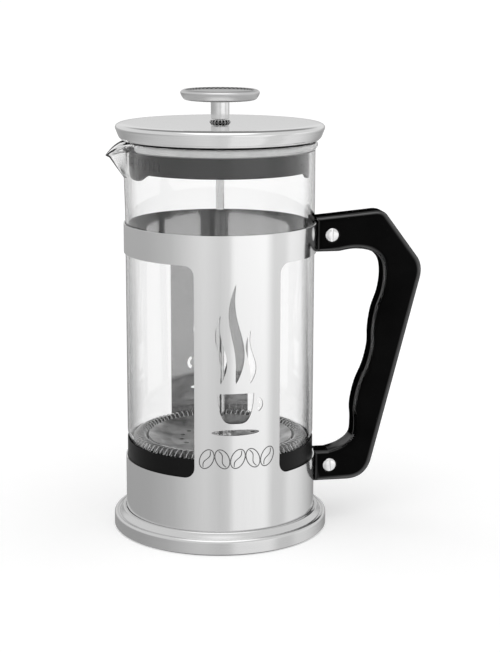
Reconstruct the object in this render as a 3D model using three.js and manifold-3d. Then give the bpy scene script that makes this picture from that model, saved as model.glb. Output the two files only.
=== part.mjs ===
// A french press: a glass beaker in a rolled steel frame, with a sprung filter plunger under a lid.
// Millimetres, +Z up. The origin is the centre of the underside, on the beaker's axis.
// The handle is on +X, the pouring lip on -X, and the frame's two panels face -Y and +Y.
import * as THREE from "three";
import { mergeVertices } from "three/addons/utils/BufferGeometryUtils.js";
import Module from "manifold-3d";

// Driving dimensions
const GAP = 0.3; // between pieces that touch
const SIDES = 48; // facets round every large turned piece

const BASE_RADIUS = 54.6;
const PAD_RADIUS = 53.6;
const PAD_TOP = 1.2;
const BASE_RIM_TOP = 7.8;
const BASE_LEDGE = 9.1;
const BASE_BEAD_TOP = 10.3;
const BASE_FLOOR_TOP = 3.2;

const FRAME_RADIUS = 48.3;
const FRAME_SHEET = 0.6;
const FRAME_BOTTOM = BASE_LEDGE + GAP;
const FRAME_TOP = 157;
const WINDOW_BOTTOM = 37.2;
const WINDOW_TOP = 142.3;
const WINDOW_CORNER = 5.2;
const PANEL_HALF_ANGLE = 26.1; // degrees
const PANEL_LEAN = 1.7; // degrees that both panels stand nearer the handle than the lip

const TAB_BEND = 2.6;
const TAB_SEAM = 0.8; // between the frame's two bent ends
const TAB_END = 61.5;
const TAB_HEIGHT = 10.8;
const UPPER_SCREW = { x: 56, z: 150 };
const LOWER_SCREW = { x: 56.1, z: 29.6 };

const GLASS_RADIUS = 47.4;
const GLASS_WALL = 1.4;
const GLASS_BOTTOM = 38;
const GLASS_FLOOR = 1.6; // thickness
const GLASS_TOP = 197.6;
const HEEL_RADIUS = 46.65;
const HEEL_CORNER = 6;
const HEEL_TOP = 46.9;
const SHOULDER = 50.5;
const BEAD_RADIUS = 48.6;
const LIP_REACH = 8.2;
const LIP_DROP = 6.2;
const LIP_START = 179;
const LIP_HALF_ANGLE = 19; // degrees

const SEAT_TOP = 46.6;
const SEAT_LIP = 0.45;
const SEAT_WALL = 2;
const SEAT_FLOOR = 1.5;
const SEAT_SCREWS = 3;
const SEAT_SCREW_CIRCLE = 30;

const HANDLE_HALF_WIDTH = 7.5;
const HANDLE_ROUNDING = 1.9;
const HANDLE_SADDLE = FRAME_RADIUS + 0.35;

const LID_TOP = 206.2;
const LID_RADIUS = 52;
const LID_LOWER_RADIUS = 49.3;
const LID_BOTTOM = 198.6;
const LID_SHEET = 0.8;
const LINER_RADIUS = 44.4;
const LINER_WALL = 1.5;
const LINER_BOTTOM = 183.4;
const LINER_WEB = 199;
const LINER_FLANGE_RADIUS = 47.9;
const STRAINER_SLOTS = 21;
const STRAINER_PITCH = 4; // degrees
const SLOT_WIDTH = 1.3;
const SLOT_BOTTOM = 185.6;
const SLOT_TOP = 191;

const BUSHING_RADIUS = 5.7;
const BUSHING_SHANK = 3.9;
const BUSHING_TOP = 208.1;
const ROD_RADIUS = 2.1;
const ROD_HOLE = ROD_RADIUS + 0.4;
const ROD_TOP = 214.7;
const STEM_RADIUS = 4.6;
const STEM_BOTTOM = BUSHING_TOP + GAP;
const KNOB_RADIUS = 19.7;
const KNOB_BOTTOM = 217.6;
const KNOB_TOP = 222.3;

const COIL_CENTRE = 45.5; // height
const COIL_TUBE = 3.8; // radius of the coil's round section
const COIL_OUTER = 45;
const PLATE_RADIUS = 36.8;
const PLATE_SHEET = 0.7;

const WELD = 1e-3;
const wasm = await Module();
wasm.setup();

const radians = THREE.MathUtils.degToRad;
const smooth = THREE.MathUtils.smoothstep;

// Turns a closed geometry into a solid that can be joined and cut.
function solidFrom(geometry) {
  const bare = geometry.clone();
  bare.deleteAttribute("normal");
  bare.deleteAttribute("uv");
  const welded = mergeVertices(bare, WELD);
  const corners = welded.index.array;
  const kept = [];
  for (let i = 0; i < corners.length; i += 3) {
    const triangle = corners.slice(i, i + 3);
    if (new Set(triangle).size === 3) kept.push(...triangle);
  }
  const mesh = new wasm.Mesh({
    numProp: 3,
    vertProperties: welded.getAttribute("position").array,
    triVerts: new Uint32Array(kept),
  });
  return new wasm.Manifold(mesh);
}

function geometryFrom(solid) {
  const mesh = solid.getMesh();
  const geometry = new THREE.BufferGeometry();
  geometry.setAttribute("position", new THREE.BufferAttribute(mesh.vertProperties, 3));
  geometry.setIndex(new THREE.BufferAttribute(mesh.triVerts, 1));
  geometry.computeVertexNormals();
  return geometry;
}

// A profile of [radius, height] pairs turned about the Z axis, anticlockwise as drawn.
// A profile that doesn't lie on the axis is closed on its first point.
function turned(profile, sides = SIDES) {
  const points = profile.map(([radius, height]) => new THREE.Vector2(radius, height));
  if (profile[0][0] > 0) points.push(points[0].clone());
  return new THREE.LatheGeometry(points, sides).rotateX(Math.PI / 2);
}

// Points on an arc of a profile, from one angle to another, in degrees.
function arc(radius, height, size, from, to, steps) {
  const points = [];
  for (let i = 0; i <= steps; i += 1) {
    const angle = radians(from + ((to - from) * i) / steps);
    points.push([radius + size * Math.cos(angle), height + size * Math.sin(angle)]);
  }
  return points;
}

function drum(radius, bottom, top, sides = 24) {
  const geometry = new THREE.CylinderGeometry(radius, radius, top - bottom, sides);
  return geometry.rotateX(Math.PI / 2).translate(0, 0, (bottom + top) / 2);
}

function block(lowX, highX, lowY, highY, lowZ, highZ) {
  const geometry = new THREE.BoxGeometry(highX - lowX, highY - lowY, highZ - lowZ);
  return geometry.translate((lowX + highX) / 2, (lowY + highY) / 2, (lowZ + highZ) / 2);
}

// Moves every point of a geometry: change(radius, angle, height) gives its new radius and height.
function reshaped(geometry, change) {
  const position = geometry.getAttribute("position");
  for (let i = 0; i < position.count; i += 1) {
    const radius = Math.hypot(position.getX(i), position.getY(i));
    const angle = Math.atan2(position.getY(i), position.getX(i));
    const [newRadius, newHeight] = change(radius, angle, position.getZ(i));
    position.setXYZ(i, newRadius * Math.cos(angle), newRadius * Math.sin(angle), newHeight);
  }
  return geometry;
}

// How far an angle is from the lip, in degrees, and from the handle.
const fromLip = (angle) => 180 - Math.abs(THREE.MathUtils.radToDeg(angle));
const fromHandle = (angle) => Math.abs(THREE.MathUtils.radToDeg(angle));

// Materials
function finish(color, roughness, metalness) {
  return new THREE.MeshStandardMaterial({ color, roughness, metalness });
}
const satinSteel = finish(0xc9c9c9, 0.28, 1);
const brushedSteel = finish(0xbdbdbd, 0.38, 1);
const brightSteel = finish(0xdcdcdc, 0.1, 1);
const blackGloss = finish(0x0b0b0b, 0.12, 0);
const blackPlastic = finish(0x141414, 0.4, 0);
const greyPlastic = finish(0x3f3f3f, 0.35, 0);
const glass = new THREE.MeshStandardMaterial({
  color: 0xf4f8f8,
  roughness: 0.02,
  metalness: 0,
  transparent: true,
  opacity: 0.3,
});

const frenchPress = new THREE.Group();

function add(name, solid, material, parent = frenchPress) {
  const mesh = new THREE.Mesh(geometryFrom(solid), material);
  mesh.name = name;
  parent.add(mesh);
}

// Where the base screws stand, evenly round the axis.
const screwSpots = [];
for (let i = 0; i < SEAT_SCREWS; i += 1) {
  const angle = radians(90 + (360 * i) / SEAT_SCREWS);
  screwSpots.push([SEAT_SCREW_CIRCLE * Math.cos(angle), SEAT_SCREW_CIRCLE * Math.sin(angle)]);
}
const SCREW_HEAD_RADIUS = 3;
const SCREW_HEAD_TOP = 4.6;
const SCREW_SHANK = 1.5;
const SCREW_TOP = 12;
const BOSS_RADIUS = 3.6;
const BOSS_BOTTOM = 5.6;

// Base: a spun steel dish with a rounded rim, a sloping step, and a ledge that the frame stands on.
function basePlate() {
  const bottom = PAD_TOP + GAP;
  const rimRound = 1.5;
  const ledgeInner = 43.6;
  const profile = [
    [0, bottom],
    [BASE_RADIUS - 0.6, bottom],
    [BASE_RADIUS, bottom + 0.6],
    ...arc(BASE_RADIUS - rimRound, BASE_RIM_TOP - rimRound, rimRound, 0, 90, 2),
    [BASE_RADIUS - 2.4, BASE_RIM_TOP],
    [50.6, 9.4],
    [49.6, BASE_BEAD_TOP],
    [FRAME_RADIUS + GAP, BASE_BEAD_TOP],
    [FRAME_RADIUS + GAP, BASE_LEDGE],
    [ledgeInner, BASE_LEDGE],
    [ledgeInner, BASE_FLOOR_TOP],
    [0, BASE_FLOOR_TOP],
  ];
  let solid = solidFrom(turned(profile));
  for (const [x, y] of screwSpots) {
    const hole = drum(SCREW_SHANK + GAP, 0, BASE_LEDGE, 12).translate(x, y, 0);
    solid = solid.subtract(solidFrom(hole));
  }
  return solid;
}

// A pan-head screw that holds the beaker seat down on the base.
function baseScrew(x, y) {
  const profile = [
    [0, BASE_FLOOR_TOP + GAP],
    [SCREW_HEAD_RADIUS, BASE_FLOOR_TOP + GAP],
    [SCREW_HEAD_RADIUS, SCREW_HEAD_TOP],
    [SCREW_SHANK, SCREW_HEAD_TOP + 0.5],
    [SCREW_SHANK, SCREW_TOP],
    [0, SCREW_TOP],
  ];
  return solidFrom(turned(profile, 12).translate(x, y, 0));
}

// Beaker seat: a black cup inside the frame's foot, which carries the beaker's rounded heel.
function beakerSeat() {
  const outer = FRAME_RADIUS - FRAME_SHEET - GAP;
  const inner = outer - SEAT_LIP;
  const floorTop = GLASS_BOTTOM - GAP;
  const corner = HEEL_CORNER + GAP;
  const profile = [
    [0, floorTop - SEAT_FLOOR],
    [outer - SEAT_WALL - 1.5, floorTop - SEAT_FLOOR],
    [outer - SEAT_WALL, floorTop - SEAT_FLOOR - 1.5],
    [outer - SEAT_WALL, FRAME_BOTTOM],
    [outer, FRAME_BOTTOM],
    [outer, SEAT_TOP],
    [inner, SEAT_TOP],
    ...arc(inner - corner, floorTop + corner, corner, 0, -90, 3),
    [0, floorTop],
  ];
  let solid = solidFrom(turned(profile));
  for (const [x, y] of screwSpots) {
    const boss = drum(BOSS_RADIUS, BOSS_BOTTOM, floorTop - 0.5, 12).translate(x, y, 0);
    const bore = drum(SCREW_SHANK + GAP, 0, SCREW_TOP + 1, 12).translate(x, y, 0);
    solid = solid.add(solidFrom(boss)).subtract(solidFrom(bore));
  }
  return solid;
}

// A cutter through the frame's sheet. Its outline lies on the unrolled sheet: edge(along, across)
// gives the distance round the sheet from a centre angle and the height, for both from 0 to 1.
const CUTTER_INNER = 40;
const CUTTER_OUTER = 62;
function sheetCutter(centreAngle, steps, edge) {
  const geometry = new THREE.BoxGeometry(1, 1, 1, steps, 1, 1);
  const position = geometry.getAttribute("position");
  for (let i = 0; i < position.count; i += 1) {
    const [distance, height] = edge(position.getX(i) + 0.5, position.getY(i) + 0.5);
    const angle = radians(centreAngle) + distance / FRAME_RADIUS;
    const radius = position.getZ(i) < 0 ? CUTTER_INNER : CUTTER_OUTER;
    position.setXYZ(i, radius * Math.cos(angle), radius * Math.sin(angle), height);
  }
  return solidFrom(geometry);
}

// A window with rounded corners between the frame's two panels.
function windowCutter(centreAngle, halfAngle) {
  const half = FRAME_RADIUS * radians(halfAngle);
  const cornerSteps = 4;
  const stations = [];
  for (let i = 0; i <= cornerSteps; i += 1) {
    stations.push(-half + WINDOW_CORNER * (1 - Math.cos(radians((90 * i) / cornerSteps))));
  }
  const spanSteps = 8;
  const straight = half - WINDOW_CORNER;
  for (let i = 1; i < spanSteps; i += 1) stations.push(straight * ((2 * i) / spanSteps - 1));
  for (let i = cornerSteps; i >= 0; i -= 1) stations.push(-stations[i]);
  return sheetCutter(centreAngle, stations.length - 1, (along, across) => {
    const distance = stations[Math.round(along * (stations.length - 1))];
    const inCorner = Math.max(0, Math.abs(distance) - straight);
    const rise = WINDOW_CORNER - Math.sqrt(Math.max(0, WINDOW_CORNER ** 2 - inCorner ** 2));
    return [distance, across > 0.5 ? WINDOW_TOP - rise : WINDOW_BOTTOM + rise];
  });
}

// The cut-out in each panel: a cup on a saucer with three wisps of steam.
const CUP_RIM = 80;
const CUP_DEPTH = 15;
const CUP_HALF_WIDTH = 9;
const CUP_OFFSET = -1.6;
const SAUCER = { centre: 60.6, halfWidth: 11.8, halfHeight: 1.5 };
const CUP_EAR = { across: 8.2, height: 74.2, inner: 2.1, outer: 3.9 };
const WISPS = [
  { across: -9, bottom: 85, top: 119, halfWidth: 1.8, sway: 1.4 },
  { across: -1.6, bottom: 85, top: 134, halfWidth: 2.5, sway: 1.9 },
  { across: 5.6, bottom: 85, top: 111, halfWidth: 1.7, sway: 1.3 },
];

function cupCutter(centreAngle) {
  return sheetCutter(centreAngle, 10, (along, across) => {
    const side = -Math.cos(Math.PI * along);
    const depth = across > 0.5 ? 0 : CUP_DEPTH * (1 - side ** 4) ** 0.6;
    return [CUP_OFFSET + CUP_HALF_WIDTH * side, CUP_RIM - depth];
  });
}

function saucerCutter(centreAngle) {
  return sheetCutter(centreAngle, 6, (along, across) => {
    const side = -Math.cos(Math.PI * along);
    const swell = SAUCER.halfHeight * Math.sqrt(1 - side ** 2);
    return [CUP_OFFSET + SAUCER.halfWidth * side, SAUCER.centre + (across > 0.5 ? swell : -swell)];
  });
}

function earCutter(centreAngle) {
  return sheetCutter(centreAngle, 6, (along, across) => {
    const angle = radians(65 - 130 * along);
    const size = across > 0.5 ? CUP_EAR.outer : CUP_EAR.inner;
    return [CUP_EAR.across + size * Math.cos(angle), CUP_EAR.height + size * Math.sin(angle)];
  });
}

function wispCutter(centreAngle, wisp) {
  return sheetCutter(centreAngle, 10, (along, across) => {
    const swell = wisp.halfWidth * Math.sin(Math.PI * along ** 0.8) ** 0.9;
    const middle = wisp.across + wisp.sway * Math.sin(2 * Math.PI * along);
    const height = THREE.MathUtils.lerp(wisp.bottom, wisp.top, along);
    return [middle + (across > 0.5 ? -swell : swell), height];
  });
}

// Frame: one steel sheet rolled into a ring whose ends turn out side by side as tabs, seen from above.
function frameOutline() {
  const middle = FRAME_RADIUS - FRAME_SHEET / 2;
  const bendY = (TAB_SEAM + FRAME_SHEET) / 2 + TAB_BEND;
  const bendX = Math.sqrt((middle + TAB_BEND) ** 2 - bendY ** 2);
  const bendAngle = Math.atan2(bendY, bendX);
  const side = (offset) => {
    const points = [[TAB_END, bendY - TAB_BEND + offset]];
    const bendSteps = 4;
    for (let i = 0; i <= bendSteps; i += 1) {
      const angle = -Math.PI / 2 - ((Math.PI / 2 - bendAngle) * i) / bendSteps;
      const size = TAB_BEND - offset;
      points.push([bendX + size * Math.cos(angle), bendY + size * Math.sin(angle)]);
    }
    const step = (2 * Math.PI) / SIDES;
    for (let i = 1; i <= SIDES / 2; i += 1) {
      points.push([(middle + offset) * Math.cos(i * step), (middle + offset) * Math.sin(i * step)]);
    }
    const mirrored = points.slice(0, -1).reverse().map(([x, y]) => [x, -y]);
    return [...points, ...mirrored];
  };
  const outline = [...side(FRAME_SHEET / 2), ...side(-FRAME_SHEET / 2).reverse()];
  return new THREE.Shape(outline.map(([x, y]) => new THREE.Vector2(x, y)));
}

function frameShell() {
  const height = FRAME_TOP - FRAME_BOTTOM;
  const tube = new THREE.ExtrudeGeometry(frameOutline(), { depth: height, bevelEnabled: false });
  let solid = solidFrom(tube.translate(0, 0, FRAME_BOTTOM));
  const panelCentre = 90 - PANEL_LEAN;
  const handleWindow = panelCentre - PANEL_HALF_ANGLE;
  const lipWindow = 180 - panelCentre - PANEL_HALF_ANGLE;
  const cutters = [windowCutter(0, handleWindow), windowCutter(180, lipWindow)];
  for (const centre of [-panelCentre, panelCentre]) {
    cutters.push(cupCutter(centre), saucerCutter(centre), earCutter(centre));
    for (const wisp of WISPS) cutters.push(wispCutter(centre, wisp));
  }
  const tabEdges = [LOWER_SCREW.z, UPPER_SCREW.z].flatMap((z) => [z - TAB_HEIGHT / 2, z + TAB_HEIGHT / 2]);
  const [lowerStart, lowerEnd, upperStart, upperEnd] = tabEdges;
  for (const [from, to] of [[0, lowerStart], [lowerEnd, upperStart], [upperEnd, FRAME_TOP + 1]]) {
    cutters.push(solidFrom(block(FRAME_RADIUS, TAB_END + 1, -6, 6, from, to)));
  }
  for (const screw of [UPPER_SCREW, LOWER_SCREW]) {
    const hole = new THREE.CylinderGeometry(2.1, 2.1, 8, 16).translate(screw.x, 0, screw.z);
    cutters.push(solidFrom(hole));
  }
  for (const cutter of cutters) solid = solid.subtract(cutter);
  return solid;
}

// Beaker: straight glass wall, rounded heel, thick rolled rim, and a pouring lip pulled out of it.
function glassBeaker() {
  const inner = GLASS_RADIUS - GLASS_WALL;
  const heelInner = HEEL_RADIUS - GLASS_WALL;
  const floorTop = GLASS_BOTTOM + GLASS_FLOOR;
  const innerCorner = HEEL_CORNER - GLASS_WALL;
  const lipHeights = [0, 0.35, 0.7].map((part) => LIP_START + part * (GLASS_TOP - 3 - LIP_START));
  const profile = [
    [0, GLASS_BOTTOM],
    ...arc(HEEL_RADIUS - HEEL_CORNER, GLASS_BOTTOM + HEEL_CORNER, HEEL_CORNER, -90, 0, 3),
    [HEEL_RADIUS, HEEL_TOP],
    [GLASS_RADIUS, SHOULDER],
    ...lipHeights.map((height) => [GLASS_RADIUS, height]),
    [GLASS_RADIUS, GLASS_TOP - 3.2],
    [BEAD_RADIUS - 0.3, GLASS_TOP - 2.7],
    [BEAD_RADIUS, GLASS_TOP - 1.5],
    [BEAD_RADIUS - 0.5, GLASS_TOP - 0.4],
    [GLASS_RADIUS - 0.1, GLASS_TOP],
    [inner + 0.3, GLASS_TOP - 0.4],
    [inner, GLASS_TOP - 1.5],
    ...lipHeights.reverse().map((height) => [inner, height]),
    [inner, SHOULDER],
    [heelInner, HEEL_TOP],
    ...arc(heelInner - innerCorner, floorTop + innerCorner, innerCorner, 0, -90, 3),
    [0, floorTop],
  ];
  const geometry = reshaped(turned(profile), (radius, angle, height) => {
    const beside = Math.max(0, 1 - fromLip(angle) / LIP_HALF_ANGLE);
    const pull = beside ** 1.6;
    const rise = THREE.MathUtils.clamp((height - LIP_START) / (GLASS_TOP - LIP_START), 0, 1);
    return [radius + LIP_REACH * pull * rise ** 1.25, height - LIP_DROP * pull * rise ** 2];
  });
  return solidFrom(geometry);
}

// Handle: a thick moulded slab with an angled back and finger grooves, seen from the side.
const ARM_TOP = { start: 158.1, end: 161 };
const KNUCKLE = { x: 82.2, z: 161.2 };
const ELBOW = { x: 103.3, z: 133.2 };
const HEEL = { x: 75.3, z: 21.3 };
const GROOVES = [
  [60, 141.5],
  [68.5, 142.3],
  [76.8, 140.6],
  [82.6, 135.8],
  [84.7, 128.4],
  [82.1, 119.6],
  [79.2, 110],
  [78.5, 100],
  [78, 91],
  [75.2, 81],
  [71.2, 71],
  [69.6, 60],
  [69.8, 51],
  [67.2, 43.5],
  [62, 38.7],
  [55.5, 36.7],
];

function handleOutline() {
  const start = FRAME_RADIUS - 4;
  const slope = new THREE.Vector2(ELBOW.x - KNUCKLE.x, ELBOW.z - KNUCKLE.z).normalize();
  const grip = new THREE.Vector2(HEEL.x - ELBOW.x, HEEL.z - ELBOW.z).normalize();
  const shape = new THREE.Shape();
  shape.moveTo(start, HEEL.z);
  shape.lineTo(HEEL.x - 11, HEEL.z);
  shape.quadraticCurveTo(HEEL.x, HEEL.z, HEEL.x - 11 * grip.x, HEEL.z - 11 * grip.y);
  shape.lineTo(ELBOW.x + 7 * grip.x, ELBOW.z + 7 * grip.y);
  shape.quadraticCurveTo(ELBOW.x, ELBOW.z, ELBOW.x - 6 * slope.x, ELBOW.z - 6 * slope.y);
  shape.lineTo(KNUCKLE.x + 4 * slope.x, KNUCKLE.z + 4 * slope.y);
  shape.quadraticCurveTo(KNUCKLE.x, KNUCKLE.z, KNUCKLE.x - 5, ARM_TOP.end - 0.2);
  shape.lineTo(start, ARM_TOP.start);
  shape.lineTo(start, GROOVES[0][1]);
  shape.lineTo(...GROOVES[0]);
  shape.splineThru(GROOVES.slice(1).map(([x, z]) => new THREE.Vector2(x, z)));
  shape.lineTo(start, GROOVES.at(-1)[1]);
  shape.closePath();
  return shape;
}

const SCREW_HEAD = 3.4; // radius
const SCREW_RECESS = 1.1;
const TAB_ROOM = TAB_SEAM / 2 + FRAME_SHEET + GAP;

function handle() {
  const slab = new THREE.ExtrudeGeometry(handleOutline(), {
    depth: 2 * (HANDLE_HALF_WIDTH - HANDLE_ROUNDING),
    bevelThickness: HANDLE_ROUNDING,
    bevelSize: HANDLE_ROUNDING,
    bevelOffset: -HANDLE_ROUNDING,
    bevelSegments: 2,
    curveSegments: 2,
  });
  slab.translate(0, 0, HANDLE_ROUNDING - HANDLE_HALF_WIDTH).rotateX(Math.PI / 2);
  let solid = solidFrom(slab).subtract(solidFrom(drum(HANDLE_SADDLE, 0, FRAME_TOP + 10, SIDES)));
  for (const screw of [UPPER_SCREW, LOWER_SCREW]) {
    const bottom = screw.z - TAB_HEIGHT / 2 - GAP;
    const top = screw.z + TAB_HEIGHT / 2 + GAP;
    const bendRoom = TAB_BEND + 1.6;
    const slot = block(FRAME_RADIUS - 5, TAB_END + GAP, -TAB_ROOM, TAB_ROOM, bottom, top);
    const mouth = block(FRAME_RADIUS - 5, FRAME_RADIUS + 2.6, -bendRoom, bendRoom, bottom - 1, top + 1);
    const bore = new THREE.CylinderGeometry(2.3, 2.3, 20, 16).translate(screw.x, 0, screw.z);
    solid = solid.subtract(solidFrom(slot)).subtract(solidFrom(mouth)).subtract(solidFrom(bore));
    for (const side of [-1, 1]) {
      const depth = SCREW_RECESS + 1;
      const recess = new THREE.CylinderGeometry(SCREW_HEAD + GAP, SCREW_HEAD + GAP, depth, 20);
      recess.translate(screw.x, side * (HANDLE_HALF_WIDTH - SCREW_RECESS + depth / 2), screw.z);
      solid = solid.subtract(solidFrom(recess));
    }
  }
  return solid;
}

// A turned fastener with a slotted, slightly domed head: its profile is [radius, distance from its tip].
function slottedFastener(profile, side, screw) {
  const length = profile.at(-1)[1];
  const seat = HANDLE_HALF_WIDTH - SCREW_RECESS + GAP;
  let solid = solidFrom(turned(profile, 20));
  const slotWidth = 0.9;
  const slotDepth = 0.8;
  const half = slotWidth / 2;
  const slot = block(-SCREW_HEAD - 1, SCREW_HEAD + 1, -half, half, length - slotDepth, length + 1);
  solid = solid.subtract(solidFrom(slot));
  const headUnderside = profile.findLast(([radius]) => radius > SCREW_HEAD - 0.01)[1] - 0.9;
  const placed = geometryFrom(solid).translate(0, 0, seat - headUnderside);
  placed.rotateZ(Math.PI / 2).rotateX((side * -Math.PI) / 2).translate(screw.x, 0, screw.z);
  placed.deleteAttribute("normal");
  return solidFrom(placed);
}

// The handle screw passes through both tabs into a sleeve nut that comes from the far side.
const SCREW_LENGTH = 11;
const SLEEVE_LENGTH = 5;
function handleScrew(screw) {
  const profile = [
    [0, 0],
    [1.1, 0],
    [1.1, SCREW_LENGTH],
    [SCREW_HEAD, SCREW_LENGTH],
    [SCREW_HEAD, SCREW_LENGTH + 0.9],
    [SCREW_HEAD - 1, SCREW_LENGTH + 1.3],
    [0, SCREW_LENGTH + 1.5],
  ];
  return slottedFastener(profile, -1, screw);
}

function handleNut(screw) {
  const profile = [
    [1.4, 0],
    [1.9, 0],
    [1.9, SLEEVE_LENGTH],
    [SCREW_HEAD, SLEEVE_LENGTH],
    [SCREW_HEAD, SLEEVE_LENGTH + 0.9],
    [SCREW_HEAD - 1, SLEEVE_LENGTH + 1.3],
    [1.4, SLEEVE_LENGTH + 1.5],
  ];
  return slottedFastener(profile, 1, screw);
}

// Lid: a pressed steel cap, drawn in towards its lower edge.
function lidShell() {
  const round = 1.8;
  const hole = BUSHING_SHANK + 0.4;
  const middle = (LID_TOP + LID_BOTTOM) / 2;
  const waist = (LID_RADIUS + LID_LOWER_RADIUS) / 2 + 0.25;
  const profile = [
    [hole, LID_TOP - LID_SHEET],
    [LID_RADIUS - round, LID_TOP - LID_SHEET],
    [LID_RADIUS - LID_SHEET, LID_TOP - round],
    [waist - LID_SHEET, middle],
    [LID_LOWER_RADIUS - LID_SHEET, LID_BOTTOM + 0.3],
    [LID_LOWER_RADIUS - LID_SHEET / 2, LID_BOTTOM],
    [LID_LOWER_RADIUS, LID_BOTTOM + 0.2],
    [waist, middle],
    ...arc(LID_RADIUS - round, LID_TOP - round, round, 0, 90, 3),
    [hole, LID_TOP],
  ];
  return solidFrom(turned(profile));
}

// Lid liner: a plastic ring that drops into the beaker, with a strainer towards the lip.
function lidLiner() {
  const hole = BUSHING_SHANK + 0.4;
  const inner = LINER_RADIUS - LINER_WALL;
  const hubRadius = 9;
  const flangeBottom = GLASS_TOP + 0.5;
  const profile = [
    [hole, LINER_WEB],
    [inner, LINER_WEB],
    [inner, SLOT_TOP + 1],
    [inner, LINER_BOTTOM],
    [LINER_RADIUS, LINER_BOTTOM],
    [LINER_RADIUS, SLOT_TOP + 1],
    [LINER_RADIUS, flangeBottom],
    [LINER_FLANGE_RADIUS, flangeBottom],
    [LINER_FLANGE_RADIUS, LINER_WEB + 1.6],
    [hubRadius, LINER_WEB + 1.6],
    [hubRadius, LID_TOP - LID_SHEET - GAP],
    [hole, LID_TOP - LID_SHEET - GAP],
  ];
  const geometry = reshaped(turned(profile), (radius, angle, height) => {
    if (height > LINER_BOTTOM + 0.1) return [radius, height];
    const lipLobe = 5 * (1 - smooth(fromLip(angle), 22, 36));
    const handleLobe = 3 * (1 - smooth(fromHandle(angle), 24, 34));
    return [radius, height - lipLobe - handleLobe];
  });
  let solid = solidFrom(geometry);
  for (let i = 0; i < STRAINER_SLOTS; i += 1) {
    const angle = Math.PI + radians((i - (STRAINER_SLOTS - 1) / 2) * STRAINER_PITCH);
    const half = SLOT_WIDTH / 2;
    const slot = block(inner - 2, LINER_RADIUS + 2, -half, half, SLOT_BOTTOM, SLOT_TOP).rotateZ(angle);
    solid = solid.subtract(solidFrom(slot));
  }
  return solid;
}

// The bushing guides the rod through the lid, and its nut clamps shell and liner together.
const BUSHING_END = 195.4;
function lidBushing() {
  const profile = [
    [ROD_HOLE, BUSHING_END],
    [BUSHING_SHANK, BUSHING_END],
    [BUSHING_SHANK, LID_TOP + GAP],
    [BUSHING_RADIUS, LID_TOP + GAP],
    [BUSHING_RADIUS, BUSHING_TOP - 0.6],
    [BUSHING_RADIUS - 0.8, BUSHING_TOP],
    [ROD_HOLE, BUSHING_TOP],
  ];
  return solidFrom(turned(profile, 24));
}

function hexNut(radius, boreRadius, bottom, top) {
  const bore = drum(boreRadius, bottom - 1, top + 1, 18);
  return solidFrom(drum(radius, bottom, top, 6)).subtract(solidFrom(bore));
}

function lidBushingNut() {
  const top = LINER_WEB - GAP;
  return hexNut(7, BUSHING_SHANK + GAP, top - 2.6, top);
}

// Knob: a flat disc with a rounded edge that narrows downwards, on a short round stem.
const SPIGOT_TOP = 219.6;
const SPIGOT_RADIUS = 2.2;
function knobCap() {
  const profile = [
    [SPIGOT_RADIUS + GAP, KNOB_BOTTOM],
    [KNOB_RADIUS - 2.9, KNOB_BOTTOM],
    [KNOB_RADIUS - 1.5, KNOB_BOTTOM + 0.6],
    [KNOB_RADIUS - 0.3, KNOB_TOP - 2],
    [KNOB_RADIUS, KNOB_TOP - 1.1],
    [KNOB_RADIUS - 0.5, KNOB_TOP - 0.35],
    [KNOB_RADIUS - 1.6, KNOB_TOP],
    [0, KNOB_TOP],
    [0, SPIGOT_TOP + GAP],
    [SPIGOT_RADIUS + GAP, SPIGOT_TOP + GAP],
  ];
  return solidFrom(turned(profile, 36));
}

function knobStem() {
  const top = KNOB_BOTTOM - GAP;
  const profile = [
    [ROD_RADIUS + GAP, STEM_BOTTOM],
    [STEM_RADIUS, STEM_BOTTOM],
    [STEM_RADIUS, top],
    [SPIGOT_RADIUS, top],
    [SPIGOT_RADIUS, SPIGOT_TOP],
    [0, SPIGOT_TOP],
    [0, ROD_TOP + GAP],
    [ROD_RADIUS + GAP, ROD_TOP + GAP],
  ];
  return solidFrom(turned(profile, 24));
}

// Plunger pieces, from the rod down to the nut under the cross plate.
const PLATE_HEIGHT = 44.5;
const SCREEN_HEIGHT = 43.6;
const SCREEN_SHEET = 0.5;
const CROSS_HEIGHT = 42.5;
const CROSS_SHEET = 0.8;
const COLLAR_RADIUS = 5.6;
const NUT_BOTTOM = 40.1;

function plungerRod() {
  return solidFrom(drum(ROD_RADIUS, NUT_BOTTOM + GAP, ROD_TOP, 16));
}

function rodCollar() {
  const bottom = PLATE_HEIGHT + PLATE_SHEET + GAP;
  const profile = [
    [ROD_RADIUS + GAP, bottom],
    [COLLAR_RADIUS, bottom],
    [COLLAR_RADIUS, bottom + 1.4],
    [COLLAR_RADIUS - 1.6, bottom + 2.2],
    [COLLAR_RADIUS - 1.6, bottom + 5],
    [ROD_RADIUS + GAP, bottom + 5],
  ];
  return solidFrom(turned(profile, 18));
}

// A ring of round holes through a disc: a cutter for each.
function holeRing(count, circle, radius, bottom, top) {
  const holes = [];
  for (let i = 0; i < count; i += 1) {
    const angle = (2 * Math.PI * i) / count;
    const hole = drum(radius, bottom, top, 6);
    holes.push(solidFrom(hole.translate(circle * Math.cos(angle), circle * Math.sin(angle), 0)));
  }
  return holes;
}

function spiralPlate() {
  const profile = [
    [ROD_HOLE, PLATE_HEIGHT],
    [25, PLATE_HEIGHT],
    [PLATE_RADIUS, PLATE_HEIGHT + 2.6],
    [PLATE_RADIUS, PLATE_HEIGHT + 2.6 + PLATE_SHEET],
    [24.8, PLATE_HEIGHT + PLATE_SHEET],
    [ROD_HOLE, PLATE_HEIGHT + PLATE_SHEET],
  ];
  let solid = solidFrom(turned(profile));
  for (const hole of holeRing(16, 20, 1.3, 40, 50)) solid = solid.subtract(hole);
  for (const hole of holeRing(8, 12, 1.3, 40, 50)) solid = solid.subtract(hole);
  return solid;
}

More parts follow.
